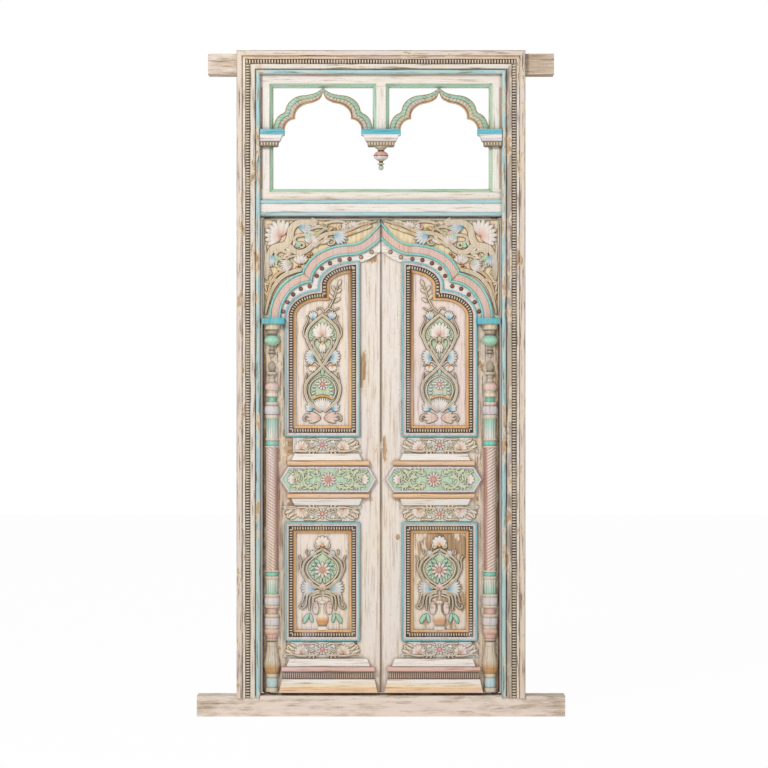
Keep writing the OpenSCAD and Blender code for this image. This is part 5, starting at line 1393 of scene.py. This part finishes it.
class DOOR_OT_columns(bpy.types.Operator):
    """Turned half columns with their capitals"""
    bl_idname = "door.columns"
    bl_label = "Columns"

    def execute(self, context):
        p, sizes = palette(context), context.scene.door_sizes
        white, pink, lavender, stone = p.white, p.pink, p.lavender, blend(p.stone, p.white, 0.3)
        mint, cream = blend(p.green, p.turquoise, 0.5), blend(p.sand, p.white, 0.4)
        slab, shaft = blend(p.blue, p.turquoise, 0.35), blend(white, pink, 0.3)
        faint, amber = blend(p.pale_blue, white, 0.35), blend(p.ochre, p.wood, 0.45)
        dark, flank = blend(stone, p.dirt_and_shade, 0.45), blend(pink, p.red, 0.5)
        groove = blend(blend(p.red, p.wood, 0.55), shaft, 0.35)
        count, pitch, thick = sizes.flutes, sizes.twist, 42
        rose, bright = blend(pink, white, 0.4), p.turquoise

        def fluted(a, _):
            return 2.6 * max(0.0, math.cos(a * 2 * count)) ** 2

        def ribbed(a, _):
            return 2.2 * max(0.0, math.cos(a * 2 * (count + 2))) ** 2

        def twisted(a, v):
            return 3.0 * (0.5 + 0.5 * math.sin(2 * math.pi * (v + 13 * (math.pi - a)) / pitch)) ** 2.5

        # from below: height, radius below and above, bulge, paint below and above, cut if any
        foot = (
            (16, 25, 25, 0, stone, stone), (40, 21, 21, 1.5, faint, faint),
            (16, 20, 22, 2, stone, stone), (22, 23, 31, 2, amber, amber, ribbed),
            (28, 31, 30, 1.5, amber, stone, ribbed), (62, 30, 20, -1, stone, stone, ribbed),
            (16, 19, 19, 0, stone, stone), (12, 21, 21, 2, p.dirt_and_shade, stone),
            (18, 19, 24, 0, pink, rose), (22, 25, 25, 4.5, pink, rose),
            (14, 25, 25, 2.5, stone, stone), (32, 27.5, 27.5, 2.5, lavender, lavender),
            (14, 26, 26, 2.5, stone, stone), (24, 22, 22, -2.5, pink, rose),
            (12, 26, 26, 3, stone, stone), (32, 28, 28, 2.5, lavender, lavender),
            (12, 27, 27, 2.5, stone, stone), (60, 24, 24, 0, mint, white, fluted),
            (12, 25, 25, 2.5, stone, stone), (16, 23, 23, 2, bright, bright),
            (8, 26, 26, 1.5, stone, stone))
        head = (
            (8, 26, 26, 1.5, stone, stone), (20, 23, 23, 2.5, bright, bright),
            (12, 25, 25, 2.5, stone, stone), (76, 24, 24, 0, white, mint, fluted),
            (18, 24, 24, 3, stone, stone), (34, 27.5, 27.5, 3, lavender, lavender),
            (16, 23, 25, 2, stone, stone), (20, 18, 18, -2, bright, bright),
            (16, 21, 21, 3.5, cream, cream), (8, 20, 20, 0, stone, stone),
            (32, 21, 21, 7, blend(pink, white, 0.6), blend(pink, white, 0.3)),
            (16, 16, 10, 0, dark, stone), (16, 10, 12, 0, dark, stone),
            (12, 19, 19, 3, dark, stone), (6, 12, 12, 0, p.dirt_and_shade, dark),
            (39, 10, 2, 9, dark, dark))
        drop = (
            (16, 3, 10, 2, stone, dark), (6, 14, 14, 2, p.dirt_and_shade, dark),
            (6, 10, 10, 0, stone, dark), (6, 11, 11, 2, p.dirt_and_shade, dark),
            (12, 8, 8, 0, dark, dark), (44, 12, 18, 17, p.green, mint),
            (20, 20, 21, 0, p.dirt_and_shade, stone), (4, 28, 28, 0, p.dirt_and_shade, stone),
            (20, 30, 34, -1, stone, p.sand))
        for side in SIDES:
            carver = leaf_carver(side, p.dirt_and_shade)
            u0, u1, v0, v1 = leaf_span(side, "column")
            axis = (u0 + u1) / 2
            gap = v1 - v0 - sum(s[0] for s in foot) - sum(s[0] for s in head)
            v = carver.turned(axis, v0, foot)
            v = carver.turned(axis, v, ((gap, 24.6, 24.6, 0, shaft, shaft, twisted),), 40, flank, groove)
            carver.turned(axis, v, head)
            leaf_piece(carver, side, "column", "pink_paint", p)

            cap = leaf_carver(side, p.dirt_and_shade)
            u0, u1, v0, v1 = leaf_span(side, "column_capital")
            top = cap.turned(axis, v0, drop)
            cap.strips([Vector((u0, v1)), Vector((u0, top)), Vector((u1, top)), Vector((u1, v1))],
                       [(slab, ((4, thick), (1.2, thick - 0.5), (0, thick - 3), (0, 0)))])
            cap.slab([(u0 + 3, top + 3), (u1 - 3, top + 3), (u1 - 3, v1), (u0 + 3, v1)], 0, thick, slab, slab)
            leaf_piece(cap, side, "column_capital", "blue_paint", p)
        return {"FINISHED"}


# Stage


class DOOR_OT_stage(bpy.types.Operator):
    """Floor, soft light, white surround and camera"""
    bl_idname = "door.stage"
    bl_label = "Stage"

    def execute(self, context):
        scene, sizes = context.scene, context.scene.door_sizes
        mesh = bpy.data.meshes.new("Floor")
        # half sizes of the floor, m
        x, y = 12, 14
        mesh.from_pydata([(-x, -y, 0), (x, -y, 0), (x, y, 0), (-x, y, 0)], [], [(0, 1, 2, 3)])
        floor = bpy.data.objects.new("Floor", mesh)
        context.collection.objects.link(floor)
        # matt studio floor, white to the camera with the shadow kept
        material = bpy.data.materials.new("Matt white studio floor")
        material.use_nodes = True
        world = bpy.data.worlds.new("Studio")
        world.use_nodes = True
        for tree in (material.node_tree, world.node_tree):
            tree.nodes.clear()
            path = add(tree, "LightPath").outputs
            seen = add(tree, "Math", {0: path["Is Camera Ray"], 1: path["Is Glossy Ray"]},
                       operation="MAXIMUM")
            seen = add(tree, "Math", {0: seen.outputs[0], 1: path["Is Transmission Ray"]},
                       operation="MAXIMUM")
            if tree is world.node_tree:
                soft = add(tree, "Background", Color=(1, 1, 1, 1), Strength=0.44)
                white = add(tree, "Background", Color=(1, 1, 1, 1), Strength=1.0)
                output = "OutputWorld"
            else:
                soft = add(tree, "BsdfDiffuse", Color=(*linear("#F4F3F1"), 1))
                white = add(tree, "Emission", Color=(1, 1, 1, 1), Strength=1.0)
                seen = add(tree, "Math", {0: seen.outputs[0]}, operation="MULTIPLY", _1=0.975)
                output = "OutputMaterial"
            both = add(tree, "MixShader", {0: seen.outputs[0], 1: soft.outputs[0], 2: white.outputs[0]})
            add(tree, output, {"Surface": both.outputs[0]})
        mesh.materials.append(material)
        scene.world = world

        aim = Vector((0, 0, 1.3))
        for name, spot, size, power in (("Key", (-3.2, -5.2, 4.6), 1.4, 240),
                                        ("Fill", (3.6, -5.0, 2.0), 3.0, 52)):
            lamp = bpy.data.lights.new(name, "AREA")
            lamp.size, lamp.energy = size, power
            light = bpy.data.objects.new(name, lamp)
            context.collection.objects.link(light)
            light.location = spot
            light.rotation_euler = (aim - Vector(spot)).to_track_quat("-Z", "Y").to_euler()

        camera = bpy.data.objects.new("Camera", bpy.data.cameras.new("Camera"))
        context.collection.objects.link(camera)
        sensor, across, high = 36, 0.012, 1.332
        camera.data.sensor_width = sensor
        camera.data.lens = sensor * sizes.view / sizes.width
        camera.location = (across, CAD_BOX[0].y - sizes.view, high)
        camera.rotation_euler = (math.pi / 2, 0, 0)
        scene.camera = camera
        scene.view_settings.view_transform = "Standard"
        return {"FINISHED"}


STEPS = (
    DOOR_OT_stage, DOOR_OT_frame_timber, DOOR_OT_frame_beads, DOOR_OT_fanlight_sash, DOOR_OT_fanlight_fret,
    DOOR_OT_leaf_boards, DOOR_OT_arches, DOOR_OT_spandrels, DOOR_OT_panel_mouldings, DOOR_OT_upper_carvings,
    DOOR_OT_lower_carvings, DOOR_OT_friezes, DOOR_OT_centre_plates, DOOR_OT_foot_and_cornices,
    DOOR_OT_columns,
)


class DOOR_PT_panel(bpy.types.Panel):
    """Steps that dress the door"""
    bl_idname = "DOOR_PT_panel"
    bl_label = "Carved door"
    bl_space_type = "VIEW_3D"
    bl_region_type = "UI"
    bl_category = "Door"

    def draw(self, context):
        for name in DoorSizes.__annotations__:
            self.layout.prop(context.scene.door_sizes, name)
        for name in DoorColours.__annotations__:
            self.layout.prop(context.scene.door_colours, name)
        for step in STEPS:
            self.layout.operator(step.bl_idname)


CLASSES = (DoorColours, DoorSizes) + STEPS + (DOOR_PT_panel,)


def register():
    for cls in CLASSES:
        bpy.utils.register_class(cls)
    bpy.types.Scene.door_colours = PointerProperty(type=DoorColours)
    bpy.types.Scene.door_sizes = PointerProperty(type=DoorSizes)


def unregister():
    del bpy.types.Scene.door_sizes
    del bpy.types.Scene.door_colours
    for cls in reversed(CLASSES):
        bpy.utils.unregister_class(cls)


def main():
    register()
    for step in STEPS:
        group, name = step.bl_idname.split(".")
        getattr(getattr(bpy.ops, group), name)()


if __name__ == "__main__":
    main()
